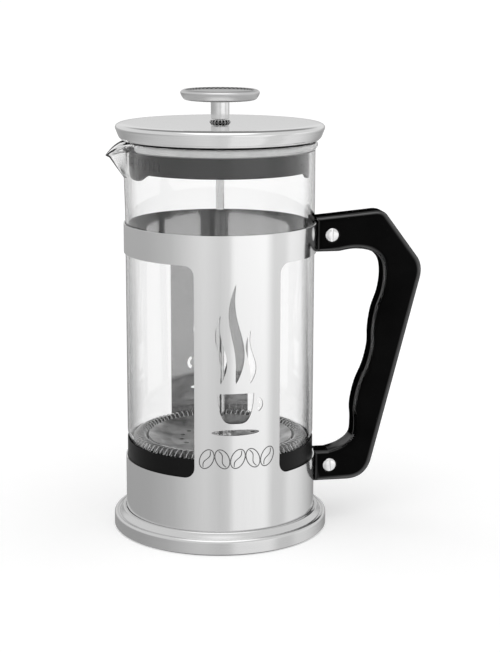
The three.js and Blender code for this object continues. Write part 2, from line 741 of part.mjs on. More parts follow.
// The coil spring that seals against the glass, as the ring that its turns fill.
function coilSpring() {
  const points = arc(COIL_OUTER - COIL_TUBE, COIL_CENTRE, COIL_TUBE, 0, 315, 7);
  return solidFrom(turned(points));
}

function meshScreen() {
  const profile = [
    [ROD_HOLE, SCREEN_HEIGHT],
    [PLATE_RADIUS, SCREEN_HEIGHT],
    [PLATE_RADIUS, SCREEN_HEIGHT + SCREEN_SHEET],
    [ROD_HOLE, SCREEN_HEIGHT + SCREEN_SHEET],
  ];
  return solidFrom(turned(profile));
}

function crossPlate() {
  const radius = PLATE_RADIUS - 0.6;
  const profile = [
    [ROD_HOLE, CROSS_HEIGHT],
    [radius, CROSS_HEIGHT],
    [radius, CROSS_HEIGHT + CROSS_SHEET],
    [ROD_HOLE, CROSS_HEIGHT + CROSS_SHEET],
  ];
  const lightening = new THREE.Shape();
  const innerCircle = 11;
  const outerCircle = 31;
  const spread = radians(33);
  lightening.absarc(0, 0, outerCircle, -spread, spread, false);
  lightening.absarc(0, 0, innerCircle, spread * 0.7, -spread * 0.7, true);
  const cutter = new THREE.ExtrudeGeometry(lightening, { depth: 4, bevelEnabled: false, curveSegments: 6 });
  cutter.translate(0, 0, CROSS_HEIGHT - 1).rotateZ(Math.PI / 4);
  let solid = solidFrom(turned(profile));
  for (let i = 0; i < 4; i += 1) solid = solid.subtract(solidFrom(cutter.clone().rotateZ((i * Math.PI) / 2)));
  return solid;
}

function plungerNut() {
  return hexNut(5, ROD_RADIUS + GAP, NUT_BOTTOM, CROSS_HEIGHT - GAP);
}

// Assembly
add("foot_pad", solidFrom(drum(PAD_RADIUS, 0, PAD_TOP, SIDES)), blackPlastic);
add("base_plate", basePlate(), brushedSteel);
screwSpots.forEach(([x, y], i) => add(`base_screw_${i + 1}`, baseScrew(x, y), brightSteel));
add("beaker_seat", beakerSeat(), blackPlastic);
add("frame_shell", frameShell(), satinSteel);
add("handle", handle(), blackGloss);
for (const [place, screw] of [["upper", UPPER_SCREW], ["lower", LOWER_SCREW]]) {
  add(`handle_screw_${place}`, handleScrew(screw), brightSteel);
  add(`handle_nut_${place}`, handleNut(screw), brightSteel);
}

add("glass_beaker", glassBeaker(), glass);

const lid = new THREE.Group();
add("lid_shell", lidShell(), satinSteel, lid);
add("lid_liner", lidLiner(), greyPlastic, lid);
add("lid_bushing", lidBushing(), brightSteel, lid);
add("lid_bushing_nut", lidBushingNut(), brightSteel, lid);
frenchPress.add(lid);

const plunger = new THREE.Group();
add("knob_cap", knobCap(), satinSteel, plunger);
add("knob_stem", knobStem(), satinSteel, plunger);
add("plunger_rod", plungerRod(), brightSteel, plunger);
add("rod_collar", rodCollar(), brightSteel, plunger);
add("spiral_plate", spiralPlate(), brightSteel, plunger);
add("coil_spring", coilSpring(), brightSteel, plunger);
add("mesh_screen", meshScreen(), satinSteel, plunger);
add("cross_plate", crossPlate(), brightSteel, plunger);
add("plunger_nut", plungerNut(), brightSteel, plunger);
frenchPress.add(plunger);

export default frenchPress;
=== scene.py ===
import math

import bmesh
import bpy
from mathutils import Matrix, Vector


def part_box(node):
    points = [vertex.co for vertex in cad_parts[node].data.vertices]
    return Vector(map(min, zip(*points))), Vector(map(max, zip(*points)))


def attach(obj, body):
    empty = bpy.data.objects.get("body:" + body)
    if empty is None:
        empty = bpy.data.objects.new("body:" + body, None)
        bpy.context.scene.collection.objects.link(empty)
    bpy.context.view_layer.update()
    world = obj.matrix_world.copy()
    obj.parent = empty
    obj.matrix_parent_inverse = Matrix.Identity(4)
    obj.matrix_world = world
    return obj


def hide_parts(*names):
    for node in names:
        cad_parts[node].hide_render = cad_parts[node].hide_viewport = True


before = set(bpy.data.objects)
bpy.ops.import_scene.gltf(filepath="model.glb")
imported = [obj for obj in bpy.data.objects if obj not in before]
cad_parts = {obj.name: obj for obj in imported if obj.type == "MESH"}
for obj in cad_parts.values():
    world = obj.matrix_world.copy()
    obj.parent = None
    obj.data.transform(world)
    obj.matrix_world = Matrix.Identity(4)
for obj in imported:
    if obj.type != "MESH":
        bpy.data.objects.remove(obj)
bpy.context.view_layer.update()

# STUDIO. The press stands on a plain white floor in an even, soft light: grey on the left, one tall
# soft panel just right of the camera and a smaller one further round. The floor is lit a little
# from inside so that it stays pale, and polished steel mirrors the panels rather than the floor.
FLOOR_SIZE = 40.0
FLOOR_DIFFUSE = 0.82
FLOOR_GLOW = 0.315
CAMERA_AZIMUTH = -9.35  # degrees round the press from straight in front of a panel
CAMERA_DISTANCE = 0.8229
CAMERA_HEIGHT = 0.2775
CAMERA_DIP = 11.937
CAMERA_SWING = 1.014  # the lens points a little past the beaker's axis, towards the handle
CAMERA_ROLL = -0.2
CAMERA_LENS = 91.42

bm = bmesh.new()
bmesh.ops.create_grid(bm, x_segments=2, y_segments=2, size=FLOOR_SIZE / 2)
floor_mesh = bpy.data.meshes.new("floor")
bm.to_mesh(floor_mesh)
bm.free()
floor = bpy.data.objects.new("floor", floor_mesh)
bpy.context.scene.collection.objects.link(floor)


def add_node(owner, kind, **inputs):
    """A node of a material or world, with its sockets set to numbers or joined to other nodes' outputs."""
    node = owner.node_tree.nodes.new(kind)
    for name, value in inputs.items():
        socket = node.inputs[int(name[1:])] if name[1:].isdigit() else node.inputs[name.replace("_", " ")]
        if isinstance(value, bpy.types.NodeSocket):
            owner.node_tree.links.new(value, socket)
        else:
            socket.default_value = value
    return node


floor_paint = bpy.data.materials.new("floor_paint")
floor_paint.use_nodes = True
floor_paint.node_tree.nodes.clear()
matt = add_node(floor_paint, "ShaderNodeBsdfDiffuse",
                Color=(FLOOR_DIFFUSE, FLOOR_DIFFUSE, FLOOR_DIFFUSE, 1))
glow = add_node(floor_paint, "ShaderNodeEmission", Strength=FLOOR_GLOW)
together = add_node(floor_paint, "ShaderNodeAddShader", i0=matt.outputs[0], i1=glow.outputs[0])
add_node(floor_paint, "ShaderNodeOutputMaterial", Surface=together.outputs[0])
floor.data.materials.append(floor_paint)
floor.visible_glossy = False

# The light all round, by direction from the camera in degrees (positive to the right).
SIDE_LIGHT = [
    (-180, 0.40), (-135, 0.48), (-95, 0.50), (-60, 0.60), (-30, 0.82), (-18, 0.88), (0, 0.78),
    (10, 0.84), (17, 1.15), (56, 1.22), (66, 0.86), (82, 0.86), (92, 1.06), (108, 1.00),
    (125, 0.80), (155, 0.42), (180, 0.40),
]
TOP_LIGHT = 0.82
FLAG = 0.28
FLOOR_RETURN = 0.9
OVERHEAD_PANEL = 1.6
world = bpy.data.worlds.new("soft_light")
world.use_nodes = True
bpy.context.scene.world = world
background = world.node_tree.nodes["Background"]
towards = add_node(world, "ShaderNodeTexCoord").outputs["Generated"]
turned_round = add_node(world, "ShaderNodeMapping", Vector=towards,
                        Rotation=(0, 0, math.radians(90 - CAMERA_AZIMUTH)))
around = add_node(world, "ShaderNodeTexGradient", Vector=turned_round.outputs[0])
around.gradient_type = "RADIAL"
side_ramp = add_node(world, "ShaderNodeValToRGB", Fac=around.outputs["Fac"])
for i, (angle, strength) in enumerate(SIDE_LIGHT):
    place = angle / 360 + 0.5
    stops = side_ramp.color_ramp.elements
    stop = stops[i] if i < 2 else stops.new(place)
    stop.position = place
    stop.color = (strength / 2, strength / 2, strength / 2, 1)
upward = add_node(world, "ShaderNodeSeparateXYZ", i0=towards)
lower = add_node(world, "ShaderNodeMapRange", Value=upward.outputs["Z"],
                 From_Min=-0.32, From_Max=-0.13, To_Min=0.84, To_Max=1.04)
dimmed = add_node(world, "ShaderNodeVectorMath", i0=side_ramp.outputs["Color"])
dimmed.operation = "SCALE"
world.node_tree.links.new(lower.outputs[0], dimmed.inputs["Scale"])


def cover(light_before, facing, strength, edge, core, most=1.0):
    """Lays one more soft patch of light or dark over the sky, round a direction that it faces."""
    aim = add_node(world, "ShaderNodeVectorMath", i0=towards, i1=Vector(facing).normalized())
    aim.operation = "DOT_PRODUCT"
    reach = add_node(world, "ShaderNodeMapRange", Value=aim.outputs["Value"],
                     From_Min=edge, From_Max=core, To_Max=most)
    reach.interpolation_type = "SMOOTHSTEP"
    patch = add_node(world, "ShaderNodeMix")
    patch.data_type = "RGBA"
    patch.inputs["B"].default_value = (strength / 2, strength / 2, strength / 2, 1)
    world.node_tree.links.new(reach.outputs[0], patch.inputs["Factor"])
    world.node_tree.links.new(light_before, patch.inputs["A"])
    return patch.outputs["Result"]


# Light back from the floor, an even ceiling, a dark flag high behind the press and a bright panel over it.
sky = cover(dimmed.outputs[0], (0, 0, -1), FLOOR_RETURN, 0.3, 0.65, 0.45)
sky = cover(sky, (0, 0, 1), TOP_LIGHT, -0.06, 0.16)
sky = cover(sky, (0.16, 0.72, 0.76), FLAG, 0.85, 0.96)
sky = cover(sky, (-0.04, -0.25, 1), OVERHEAD_PANEL, 0.84, 0.95)
world.node_tree.links.new(sky, background.inputs["Color"])
background.inputs["Strength"].default_value = 2

camera = bpy.data.objects.new("camera", bpy.data.cameras.new("camera"))
bpy.context.scene.collection.objects.link(camera)
camera.data.lens = CAMERA_LENS
camera.data.sensor_width = 36
camera.data.clip_start = 0.01
camera.data.clip_end = 100
towards_camera = math.radians(CAMERA_AZIMUTH)
camera.location = (
    CAMERA_DISTANCE * math.sin(towards_camera),
    -CAMERA_DISTANCE * math.cos(towards_camera),
    CAMERA_HEIGHT,
)
camera.rotation_euler = (
    math.radians(90 - CAMERA_DIP),
    math.radians(CAMERA_ROLL),
    math.radians(CAMERA_AZIMUTH - CAMERA_SWING),
)
bpy.context.scene.camera = camera
bpy.context.scene.view_settings.view_transform = "Standard"

# FOOT PAD. A round sheet of matt black rubber, glued under the base so that the press doesn't slide.
# It is punched from sheet, so its edge is square with a fine burr taken off.
MM = 0.001
TURN_STEPS = 192


def turned(profile, steps=TURN_STEPS):
    """A closed surface turned about the Z axis from [radius, height] pairs in millimetres."""
    bm = bmesh.new()
    line = [bm.verts.new((radius * MM, 0, height * MM)) for radius, height in profile]
    edges = [bm.edges.new(pair) for pair in zip(line, line[1:])]
    if profile[0][0] > 0:
        edges.append(bm.edges.new((line[-1], line[0])))
    bmesh.ops.spin(bm, geom=line + edges, cent=(0, 0, 0), axis=(0, 0, 1),
                   angle=2 * math.pi, steps=steps, use_merge=True)
    bmesh.ops.remove_doubles(bm, verts=bm.verts, dist=1e-7)
    bmesh.ops.recalc_face_normals(bm, faces=bm.faces)
    return bm


def soften(bm, size, least_angle=35, segments=2):
    """Rounds every edge that is sharper than an angle in degrees, by a size in millimetres."""
    sharp = [e for e in bm.edges if e.is_manifold and e.calc_face_angle() > math.radians(least_angle)]
    bmesh.ops.bevel(bm, geom=sharp, offset=size * MM, offset_type="OFFSET", segments=segments,
                    profile=0.5, affect="EDGES", material=-1, clamp_overlap=True)


def shown(name, bm, body, material, nodes=(), crease=35):
    """Makes a finished piece of a bmesh: smooth faces, its ride and its CAD nodes."""
    for face in bm.faces:
        face.smooth = True
    for edge in bm.edges:
        edge.smooth = not edge.is_manifold or edge.calc_face_angle() < math.radians(crease)
    mesh = bpy.data.meshes.new(name)
    bm.to_mesh(mesh)
    bm.free()
    piece = bpy.data.objects.new(name, mesh)
    bpy.context.scene.collection.objects.link(piece)
    mesh.materials.append(material)
    even = piece.modifiers.new("even_normals", "WEIGHTED_NORMAL")
    even.keep_sharp = True
    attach(piece, body)
    if nodes:
        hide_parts(*nodes)
    return piece


def finish_of(name, colour, roughness, metallic=0.0):
    """A material with its own shader and object coordinates, ready for its texture."""
    material = bpy.data.materials.new(name)
    material.use_nodes = True
    shader = material.node_tree.nodes["Principled BSDF"]
    shader.inputs["Base Color"].default_value = (*colour, 1)
    shader.inputs["Roughness"].default_value = roughness
    shader.inputs["Metallic"].default_value = metallic
    place = material.node_tree.nodes.new("ShaderNodeTexCoord")
    return material, shader, place.outputs["Object"]


def roughen(material, shader, vector, scale, low, high, detail=3.0):
    """Lets the roughness wander between two values in soft patches."""
    patches = add_node(material, "ShaderNodeTexNoise", Vector=vector, Scale=scale, Detail=detail)
    spread = add_node(material, "ShaderNodeMapRange", Value=patches.outputs["Fac"],
                      From_Min=0.3, From_Max=0.7, To_Min=low, To_Max=high)
    material.node_tree.links.new(spread.outputs[0], shader.inputs["Roughness"])
    return patches


def emboss(material, shader, height, strength, distance):
    """Joins a height to the shader's normal as a shallow relief, in metres."""
    bump = add_node(material, "ShaderNodeBump", Height=height, Strength=strength, Distance=distance)
    material.node_tree.links.new(bump.outputs[0], shader.inputs["Normal"])


def vary(material, shader, factor, dark, light):
    """Lets the colour wander between two shades."""
    shades = add_node(material, "ShaderNodeValToRGB", Fac=factor)
    shades.color_ramp.elements[0].position = 0.3
    shades.color_ramp.elements[0].color = (*dark, 1)
    shades.color_ramp.elements[1].position = 0.7
    shades.color_ramp.elements[1].color = (*light, 1)
    material.node_tree.links.new(shades.outputs[0], shader.inputs["Base Color"])


def span(node):
    """A CAD node's outer radius about the axis, its foot and its top, in millimetres."""
    low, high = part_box(node)
    return high.y / MM, low.z / MM, high.z / MM


pad_radius, pad_foot, pad_top = span("foot_pad")
pad = turned([[0, pad_foot], [pad_radius, pad_foot], [pad_radius, pad_top], [0, pad_top]])
soften(pad, 0.2)
rubber, rubber_shader, rubber_place = finish_of("pad_rubber", (0.02, 0.02, 0.02), 0.8)
speckle = roughen(rubber, rubber_shader, rubber_place, 900, 0.72, 0.9)
vary(rubber, rubber_shader, speckle.outputs["Fac"], (0.012, 0.012, 0.012), (0.03, 0.03, 0.03))
emboss(rubber, rubber_shader, speckle.outputs["Fac"], 0.3, 0.0001)
shown("foot_pad_sheet", pad, "frame", rubber, ["foot_pad"])

# BASE PLATE. A dish of stainless steel, spun on a former and brushed on the lathe: a rolled rim, a sloping
# step and a small bead where the frame drops in. Its low skirt hides the edge of the rubber pad, and three
# screws hold the beaker seat down on it.
rim_radius, base_foot, bead_top = span("base_plate")
LEDGE = 9.1
RIM_TOP = 7.8
RIM_ROUND = 1.5
BEAD_RADIUS = 49.6
DISH_RADIUS = 43.6
DISH_FLOOR = 3.2
SKIRT_FOOT = 0.5


def arc(radius, height, size, start, end, steps):
    """Points on an arc of a profile, its angles in degrees."""
    angles = [math.radians(start + (end - start) * i / steps) for i in range(steps + 1)]
    return [[radius + size * math.cos(a), height + size * math.sin(a)] for a in angles]


def lathe_brushed(name, colour, low, high, relief):
    """Steel with a fine grain that runs round the Z axis."""
    material, shader, place = finish_of(name, colour, (low + high) / 2, 1.0)
    apart = add_node(material, "ShaderNodeSeparateXYZ", i0=place)
    flat = add_node(material, "ShaderNodeCombineXYZ", X=apart.outputs["X"], Y=apart.outputs["Y"])
    reach = add_node(material, "ShaderNodeVectorMath", i0=flat.outputs[0])
    reach.operation = "LENGTH"
    turn = add_node(material, "ShaderNodeTexGradient", Vector=place)
    turn.gradient_type = "RADIAL"
    lines = add_node(material, "ShaderNodeCombineXYZ", X=reach.outputs["Value"],
                     Y=turn.outputs["Fac"], Z=apart.outputs["Z"])
    stretched = add_node(material, "ShaderNodeMapping", Vector=lines.outputs[0], Scale=(9000, 14, 9000))
    grain = roughen(material, shader, stretched.outputs[0], 1.0, low, high, 4.0)
    emboss(material, shader, grain.outputs["Fac"], relief, 0.00003)
    shade = [c * 0.93 for c in colour]
    vary(material, shader, grain.outputs["Fac"], shade, colour)
    return material


base = turned([
    [0, base_foot],
    [pad_radius + 0.15, base_foot],
    [pad_radius + 0.15, SKIRT_FOOT],
    [rim_radius - 0.4, SKIRT_FOOT],
    [rim_radius, SKIRT_FOOT + 0.4],
    *arc(rim_radius - RIM_ROUND, RIM_TOP - RIM_ROUND, RIM_ROUND, 0, 100, 10),
    *arc(rim_radius - RIM_ROUND - 0.35, RIM_TOP - 1.6, 1.6, 92, 128, 4),
    [51.1, 8.5],
    [50.5, 9.3],
    *arc(BEAD_RADIUS, bead_top - 0.7, 0.7, 20, 90, 5),
    [48.75, bead_top],
    [48.6, bead_top - 0.2],
    [48.6, LEDGE],
    [DISH_RADIUS, LEDGE],
    [DISH_RADIUS, DISH_FLOOR],
    [0, DISH_FLOOR],
])
base_steel = lathe_brushed("base_steel", (0.72, 0.72, 0.72), 0.13, 0.22, 0.12)
shown("base_dish", base, "frame", base_steel, ["base_plate"])

# BASE SCREWS. Three plated screws inside the dish, under the beaker seat, which they hold down. The
# seat's bosses for them aren't drawn.
def plated(name, colour=(0.82, 0.82, 0.82), low=0.06, high=0.14):
    """Bright turned or drawn steel with faint handling marks."""
    material, shader, place = finish_of(name, colour, low, 1.0)
    marks = roughen(material, shader, place, 400, low, high, 5.0)
    vary(material, shader, marks.outputs["Fac"], [c * 0.92 for c in colour], colour)
    return material


def recoat(node, material):
    """Gives a CAD node its finished material, and leaves its mesh alone."""
    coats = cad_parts[node].data.materials
    coats.clear()
    coats.append(material)


screw_plating = plated("screw_plating")
for number in (1, 2, 3):
    recoat(f"base_screw_{number}", screw_plating)

# BEAKER SEAT. A deep black plastic cup moulded in one piece, inside the foot of the frame. Its lip
# wraps the beaker's rounded heel and keeps glass off steel. It is satin from the mould.
seat_radius, _, seat_top = span("beaker_seat")
SEAT_FLOOR_TOP = 37.7
SEAT_CORNER = 6.3
SEAT_LIP = 0.45
SEAT_WALL = 2
SEAT_FLOOR = 1.5


def moulded(name, colour, low, high, relief=0.1, specular=0.5):
    """Injection-moulded plastic: even colour, a faint mould texture."""
    material, shader, place = finish_of(name, colour, (low + high) / 2)
    shader.inputs["Specular IOR Level"].default_value = specular
    texture = roughen(material, shader, place, 700, low, high)
    vary(material, shader, texture.outputs["Fac"], [c * 0.8 for c in colour], colour)
    emboss(material, shader, texture.outputs["Fac"], relief, 0.00005)
    return material


seat = turned([
    [0, SEAT_FLOOR_TOP - SEAT_FLOOR],
    [seat_radius - 3.5, SEAT_FLOOR_TOP - SEAT_FLOOR],
    [seat_radius - SEAT_WALL, SEAT_FLOOR_TOP - 3],
    [seat_radius - SEAT_WALL, LEDGE + 0.3],
    [seat_radius, LEDGE + 0.3],
    [seat_radius, seat_top],
    [seat_radius - SEAT_LIP, seat_top],
    *arc(seat_radius - SEAT_LIP - SEAT_CORNER, SEAT_FLOOR_TOP + SEAT_CORNER, SEAT_CORNER, 0, -90, 8),
    [0, SEAT_FLOOR_TOP],
])
soften(seat, 0.12)
seat_plastic = moulded("seat_plastic", (0.005, 0.005, 0.005), 0.3, 0.42, specular=0.12)
shown("seat_cup", seat, "frame", seat_plastic, ["beaker_seat"])

# FRAME SHELL. One stainless sheet, satin outside, its inside a darker copy with painted shade, cut flat and
# then rolled into a ring of two wide panels between two bands. A cup with three wisps of steam is cut through
# each panel, and the sheet's two ends are bent outwards as pairs of tabs, which the handle's screws pull
# together.
SHEET = 0.6
RING_RADIUS = 48.0  # to the middle of the sheet
TAB_BEND = 2.6
TAB_SEAM = 0.8
TAB_END = 61.5
TAB_HEIGHT = 10.8
UPPER_SCREW = (56.0, 150.0)
LOWER_SCREW = (56.1, 29.6)
WINDOW_BOTTOM = 37.2
WINDOW_TOP = 142.3
WINDOW_CORNER = 5.2
PANEL_CENTRE = 88.3  # degrees from the handle
PANEL_HALF_ANGLE = 26.1
CUP_RIM = 80.0
CUP_DEPTH = 15.0
CUP_HALF_WIDTH = 9.0
CUP_OFFSET = -1.6
EAR_OUT = 8.2
EAR_HEIGHT = 74.2
SAUCER = (60.6, 11.8, 1.5)  # height, half width and half thickness
CUT_OUT_HALF_ANGLE = 20  # degrees to each side of a panel's centre
CUT_OUT_FOOT = 50
CUT_OUT_TOP = 140
# Each wisp of steam: its place across the panel, bottom, top, half width and sway.
WISPS = [(-9.0, 85.0, 119.0, 1.8, 1.4), (-1.6, 85.0, 134.0, 2.5, 1.9), (5.6, 85.0, 111.0, 1.7, 1.3)]

frame_foot, frame_top = span("frame_shell")[1:]
bend_y = (TAB_SEAM + SHEET) / 2 + TAB_BEND
bend_x = math.sqrt((RING_RADIUS + TAB_BEND) ** 2 - bend_y ** 2)
bend_angle = math.atan2(bend_y, bend_x)
ROLLED_LENGTH = RING_RADIUS * (math.pi - bend_angle)
BENT_LENGTH = TAB_BEND * (math.pi / 2 - bend_angle)
TAB_START = ROLLED_LENGTH + 0.45 * BENT_LENGTH
SHEET_END = ROLLED_LENGTH + BENT_LENGTH + TAB_END - bend_x


def rolled(along, height, out):
    """Where a point of the flat sheet comes to lie, with its distance along the sheet from the lip."""
    side = 1 if along < 0 else -1
    far = abs(along)
    if far <= ROLLED_LENGTH:
        angle = math.pi - far / RING_RADIUS
        x = (RING_RADIUS + out) * math.cos(angle)
        y = (RING_RADIUS + out) * math.sin(angle)
    elif far <= ROLLED_LENGTH + BENT_LENGTH:
        angle = math.pi + bend_angle + (far - ROLLED_LENGTH) / TAB_BEND
        x = bend_x + (TAB_BEND - out) * math.cos(angle)
        y = bend_y + (TAB_BEND - out) * math.sin(angle)
    else:
        x = bend_x + far - ROLLED_LENGTH - BENT_LENGTH
        y = bend_y - TAB_BEND + out
    return Vector((x, side * y, height)) * MM


def thicken(bm, push):
    """Makes a solid of flat faces by pushing a copy of them along a vector."""
    copy = bmesh.ops.extrude_face_region(bm, geom=bm.faces[:])
    pushed = [g for g in copy["geom"] if isinstance(g, bmesh.types.BMVert)]
    bmesh.ops.translate(bm, verts=pushed, vec=push)
    bmesh.ops.recalc_face_normals(bm, faces=bm.faces)


def sheet_of(loops, thickness):
    """A flat sheet in millimetres, from outlines: X runs along it, Y up it and Z out of it."""
    bm = bmesh.new()
    edges = []
    for loop in loops:
        corners = [bm.verts.new((x, y, thickness / 2)) for x, y in loop]
        edges += [bm.edges.new(pair) for pair in zip(corners, corners[1:] + corners[:1])]
    bmesh.ops.triangle_fill(bm, edges=edges, use_beauty=True, normal=(0, 0, 1))
    for face in bm.faces:
        if face.normal.z < 0:
            face.normal_flip()
    thicken(bm, (0, 0, -thickness))
    return bm


def strips(bm, low, high, width):
    """Cuts a flat sheet into narrow upright strips, so that it can be rolled."""
    count = math.ceil((high - low) / width)
    for i in range(1, count):
        place = low + (high - low) * i / count
        bmesh.ops.bisect_plane(bm, geom=bm.verts[:] + bm.edges[:] + bm.faces[:], dist=1e-5,
                               plane_co=(place, 0, 0), plane_no=(1, 0, 0))


def wrap(bm, place):
    """Moves every point of a flat sheet to where it lies on the rolled one."""
    for vert in bm.verts:
        vert.co = place(*vert.co)
    bmesh.ops.remove_doubles(bm, verts=bm.verts, dist=2e-6)
    bmesh.ops.dissolve_limit(bm, angle_limit=math.radians(0.3), verts=bm.verts, edges=bm.edges)
    bmesh.ops.recalc_face_normals(bm, faces=bm.faces)


def corner(x, y, radius, start, steps=10):
    """A quarter round of an outline: its centre, and the angle it starts from, in degrees."""
    return arc(x, y, radius, start, start + 90, steps)


def window(low, high, bottom, top, radius):
    """A rectangle with rounded corners."""
    return [
        *corner(low + radius, bottom + radius, radius, 180),
        *corner(high - radius, bottom + radius, radius, 270),
        *corner(high - radius, top - radius, radius, 0),
        *corner(low + radius, top - radius, radius, 90),
    ]


def lens(x, y, half_width, half_height, steps=48):
    """A full oval."""
    turns = [2 * math.pi * i / steps for i in range(steps)]
    return [[x + half_width * math.cos(a), y + half_height * math.sin(a)] for a in turns]


def cup(x):
    """A round-bottomed cup, with its rim square."""
    steps = 36
    sides = [-math.cos(math.pi * i / steps) for i in range(steps + 1)]
    return [[x + CUP_HALF_WIDTH * s, CUP_RIM - CUP_DEPTH * max(0, 1 - s ** 4) ** 0.6] for s in sides]


def ear(x):
    """The cup's ear, a crescent beside it."""
    outer = arc(x + EAR_OUT - CUP_OFFSET, EAR_HEIGHT, 3.9, -65, 65, 16)
    inner = arc(x + EAR_OUT - CUP_OFFSET, EAR_HEIGHT, 2.1, 65, -65, 12)
    return outer + inner


def wisp(x, across, bottom, top, half_width, sway):
    """A wisp of steam, pointed at both ends."""
    steps = 44
    left = []
    right = []
    for i in range(steps + 1):
        part = i / steps
        swell = half_width * math.sin(math.pi * part ** 0.8) ** 0.9 if 0 < i < steps else 0
        middle = x + across + sway * math.sin(2 * math.pi * part)
        height = bottom + (top - bottom) * part
        left.append([middle - swell, height])
        right.append([middle + swell, height])
    return right + left[-2:0:-1]


def sheet_end(direction):
    """The end of the sheet on one side, with the handle's window and two tabs, from its foot up."""
    window_side = RING_RADIUS * math.radians(180 - PANEL_CENTRE + PANEL_HALF_ANGLE)
    centre = window_side + WINDOW_CORNER
    lower = LOWER_SCREW[1]
    upper = UPPER_SCREW[1]
    half = TAB_HEIGHT / 2
    line = [
        [TAB_START, frame_foot],
        [TAB_START, lower - half],
        [SHEET_END, lower - half],
        [SHEET_END, lower + half],
        [TAB_START, lower + half],
        [TAB_START, WINDOW_BOTTOM],
        *arc(centre, WINDOW_BOTTOM + WINDOW_CORNER, WINDOW_CORNER, 270, 180, 10),
        *arc(centre, WINDOW_TOP - WINDOW_CORNER, WINDOW_CORNER, 180, 90, 10),
        [TAB_START, WINDOW_TOP],
        [TAB_START, upper - half],
        [SHEET_END, upper - half],
        [SHEET_END, upper + half],
        [TAB_START, upper + half],
        [TAB_START, frame_top],
    ]
    return [[direction * x, y] for x, y in line]


panel_place = RING_RADIUS * math.radians(180 - PANEL_CENTRE)
lip_window = RING_RADIUS * math.radians(180 - PANEL_CENTRE - PANEL_HALF_ANGLE)
screw_place = ROLLED_LENGTH + BENT_LENGTH - bend_x
outlines = [
    sheet_end(1) + sheet_end(-1)[::-1],
    window(-lip_window, lip_window, WINDOW_BOTTOM, WINDOW_TOP, WINDOW_CORNER),
]
for x in (-panel_place, panel_place):
    outlines.append(cup(x + CUP_OFFSET))
    outlines.append(lens(x + CUP_OFFSET, *SAUCER))
    outlines.append(ear(x + CUP_OFFSET))
    for across, bottom, top, half_width, sway in WISPS:
        outlines.append(wisp(x, across, bottom, top, half_width, sway))
for side in (-1, 1):
    for x, y in (UPPER_SCREW, LOWER_SCREW):
        outlines.append(lens(side * (screw_place + x), y, 2.1, 2.1, 24))


def rolled_steel(name, colour, low, high, relief):
    """Cold-rolled sheet steel: a faint upright grain and slow waves from the rolling."""
    material, shader, place = finish_of(name, colour, (low + high) / 2, 1.0)
    stretched = add_node(material, "ShaderNodeMapping", Vector=place, Scale=(3200, 3200, 60))
    grain = roughen(material, shader, stretched.outputs[0], 1.0, low, high, 5.0)
    vary(material, shader, grain.outputs["Fac"], [c * 0.965 for c in colour], colour)
    emboss(material, shader, grain.outputs["Fac"], relief, 0.00002)
    return material


frame_sheet = sheet_of(outlines, SHEET)
strips(frame_sheet, -SHEET_END, SHEET_END, 0.9)
wrap(frame_sheet, rolled)
frame_steel = rolled_steel("frame_steel", (0.80, 0.80, 0.80), 0.10, 0.17, 0.12)
# The inside faces take a darker copy of the frame steel: painted shade.
inner_painted_shade_steel = rolled_steel("frame_inner_painted_shade", (0.36, 0.36, 0.36), 0.07, 0.13, 0.12)
# The cut faces round the cut-outs take near-black steel: painted shade lines along the cut edges.
painted_cut_shade = rolled_steel("frame_cut_edge_painted_shade", (0.08, 0.08, 0.08), 0.3, 0.5, 0.1)
ring = shown("frame_ring", frame_sheet, "frame", frame_steel, ["frame_shell"])
ring.data.materials.append(inner_painted_shade_steel)
ring.data.materials.append(painted_cut_shade)
# Inward faces get the painted shade of the inside, and the cut faces in the cut-outs get the painted shade of
# the cut edges.
for face in ring.data.polygons:
    x, y, height = face.center / MM
    outwards = Vector((x, y, 0)).normalized()
    off_panel = abs(abs(math.degrees(math.atan2(y, x))) - PANEL_CENTRE)
    in_cut_out = off_panel < CUT_OUT_HALF_ANGLE and CUT_OUT_FOOT < height < CUT_OUT_TOP
    if outwards.dot(face.normal) < -0.7:
        face.material_index = 1
    elif outwards.dot(face.normal) < 0.5 and in_cut_out:
        face.material_index = 2

# COFFEE BEANS. A row of five beans in outline, etched low on each panel through a resist. The acid
# leaves the lines a dull mid grey and a few hundredths of a millimetre rough.
BEAN_HEIGHT = 47.4
BEAN_PITCH = 7.6
BEAN_TILT = 24.0
ETCHED_LINE = 0.5


def bean(x, y, tilt):
    """The outlines of one bean: an oval band and the S-shaped crease down its middle."""
    outer = lens(0, 0, 3.5, 5.3, 40)
    inner = lens(0, 0, 3.5 - ETCHED_LINE, 5.3 - ETCHED_LINE, 40)
    crease = []
    for i in range(17):
        part = i / 16 * 2 - 1
        crease.append([0.75 * math.sin(math.pi * part) - ETCHED_LINE / 2, 4.4 * part])
    crease += [[a + ETCHED_LINE, b] for a, b in crease[::-1]]
    lean = Matrix.Rotation(math.radians(tilt), 2)
    placed = []
    for loop in (outer, inner, crease):
        placed.append([(lean @ Vector(point)) + Vector((x, y)) for point in loop])
    return placed


etched = finish_of("etched_steel", (0.20, 0.20, 0.20), 0.5, 0.7)
etched_grain = roughen(etched[0], etched[1], etched[2], 2500, 0.42, 0.6)
vary(etched[0], etched[1], etched_grain.outputs["Fac"], (0.11, 0.11, 0.11), (0.17, 0.17, 0.17))
for name, x in (("front", panel_place), ("back", -panel_place)):
    lines = []
    for i in range(5):
        centre = x + (i - 2) * BEAN_PITCH - 0.6
        lines += bean(centre, BEAN_HEIGHT, BEAN_TILT if i % 2 else -BEAN_TILT)
    beans = sheet_of(lines, 0.03)
    strips(beans, x - 24, x + 24, 0.9)
    wrap(beans, lambda along, height, out: rolled(along, height, out + SHEET / 2 + 0.01))
    shown(f"etched_beans_{name}", beans, "frame", etched[0])

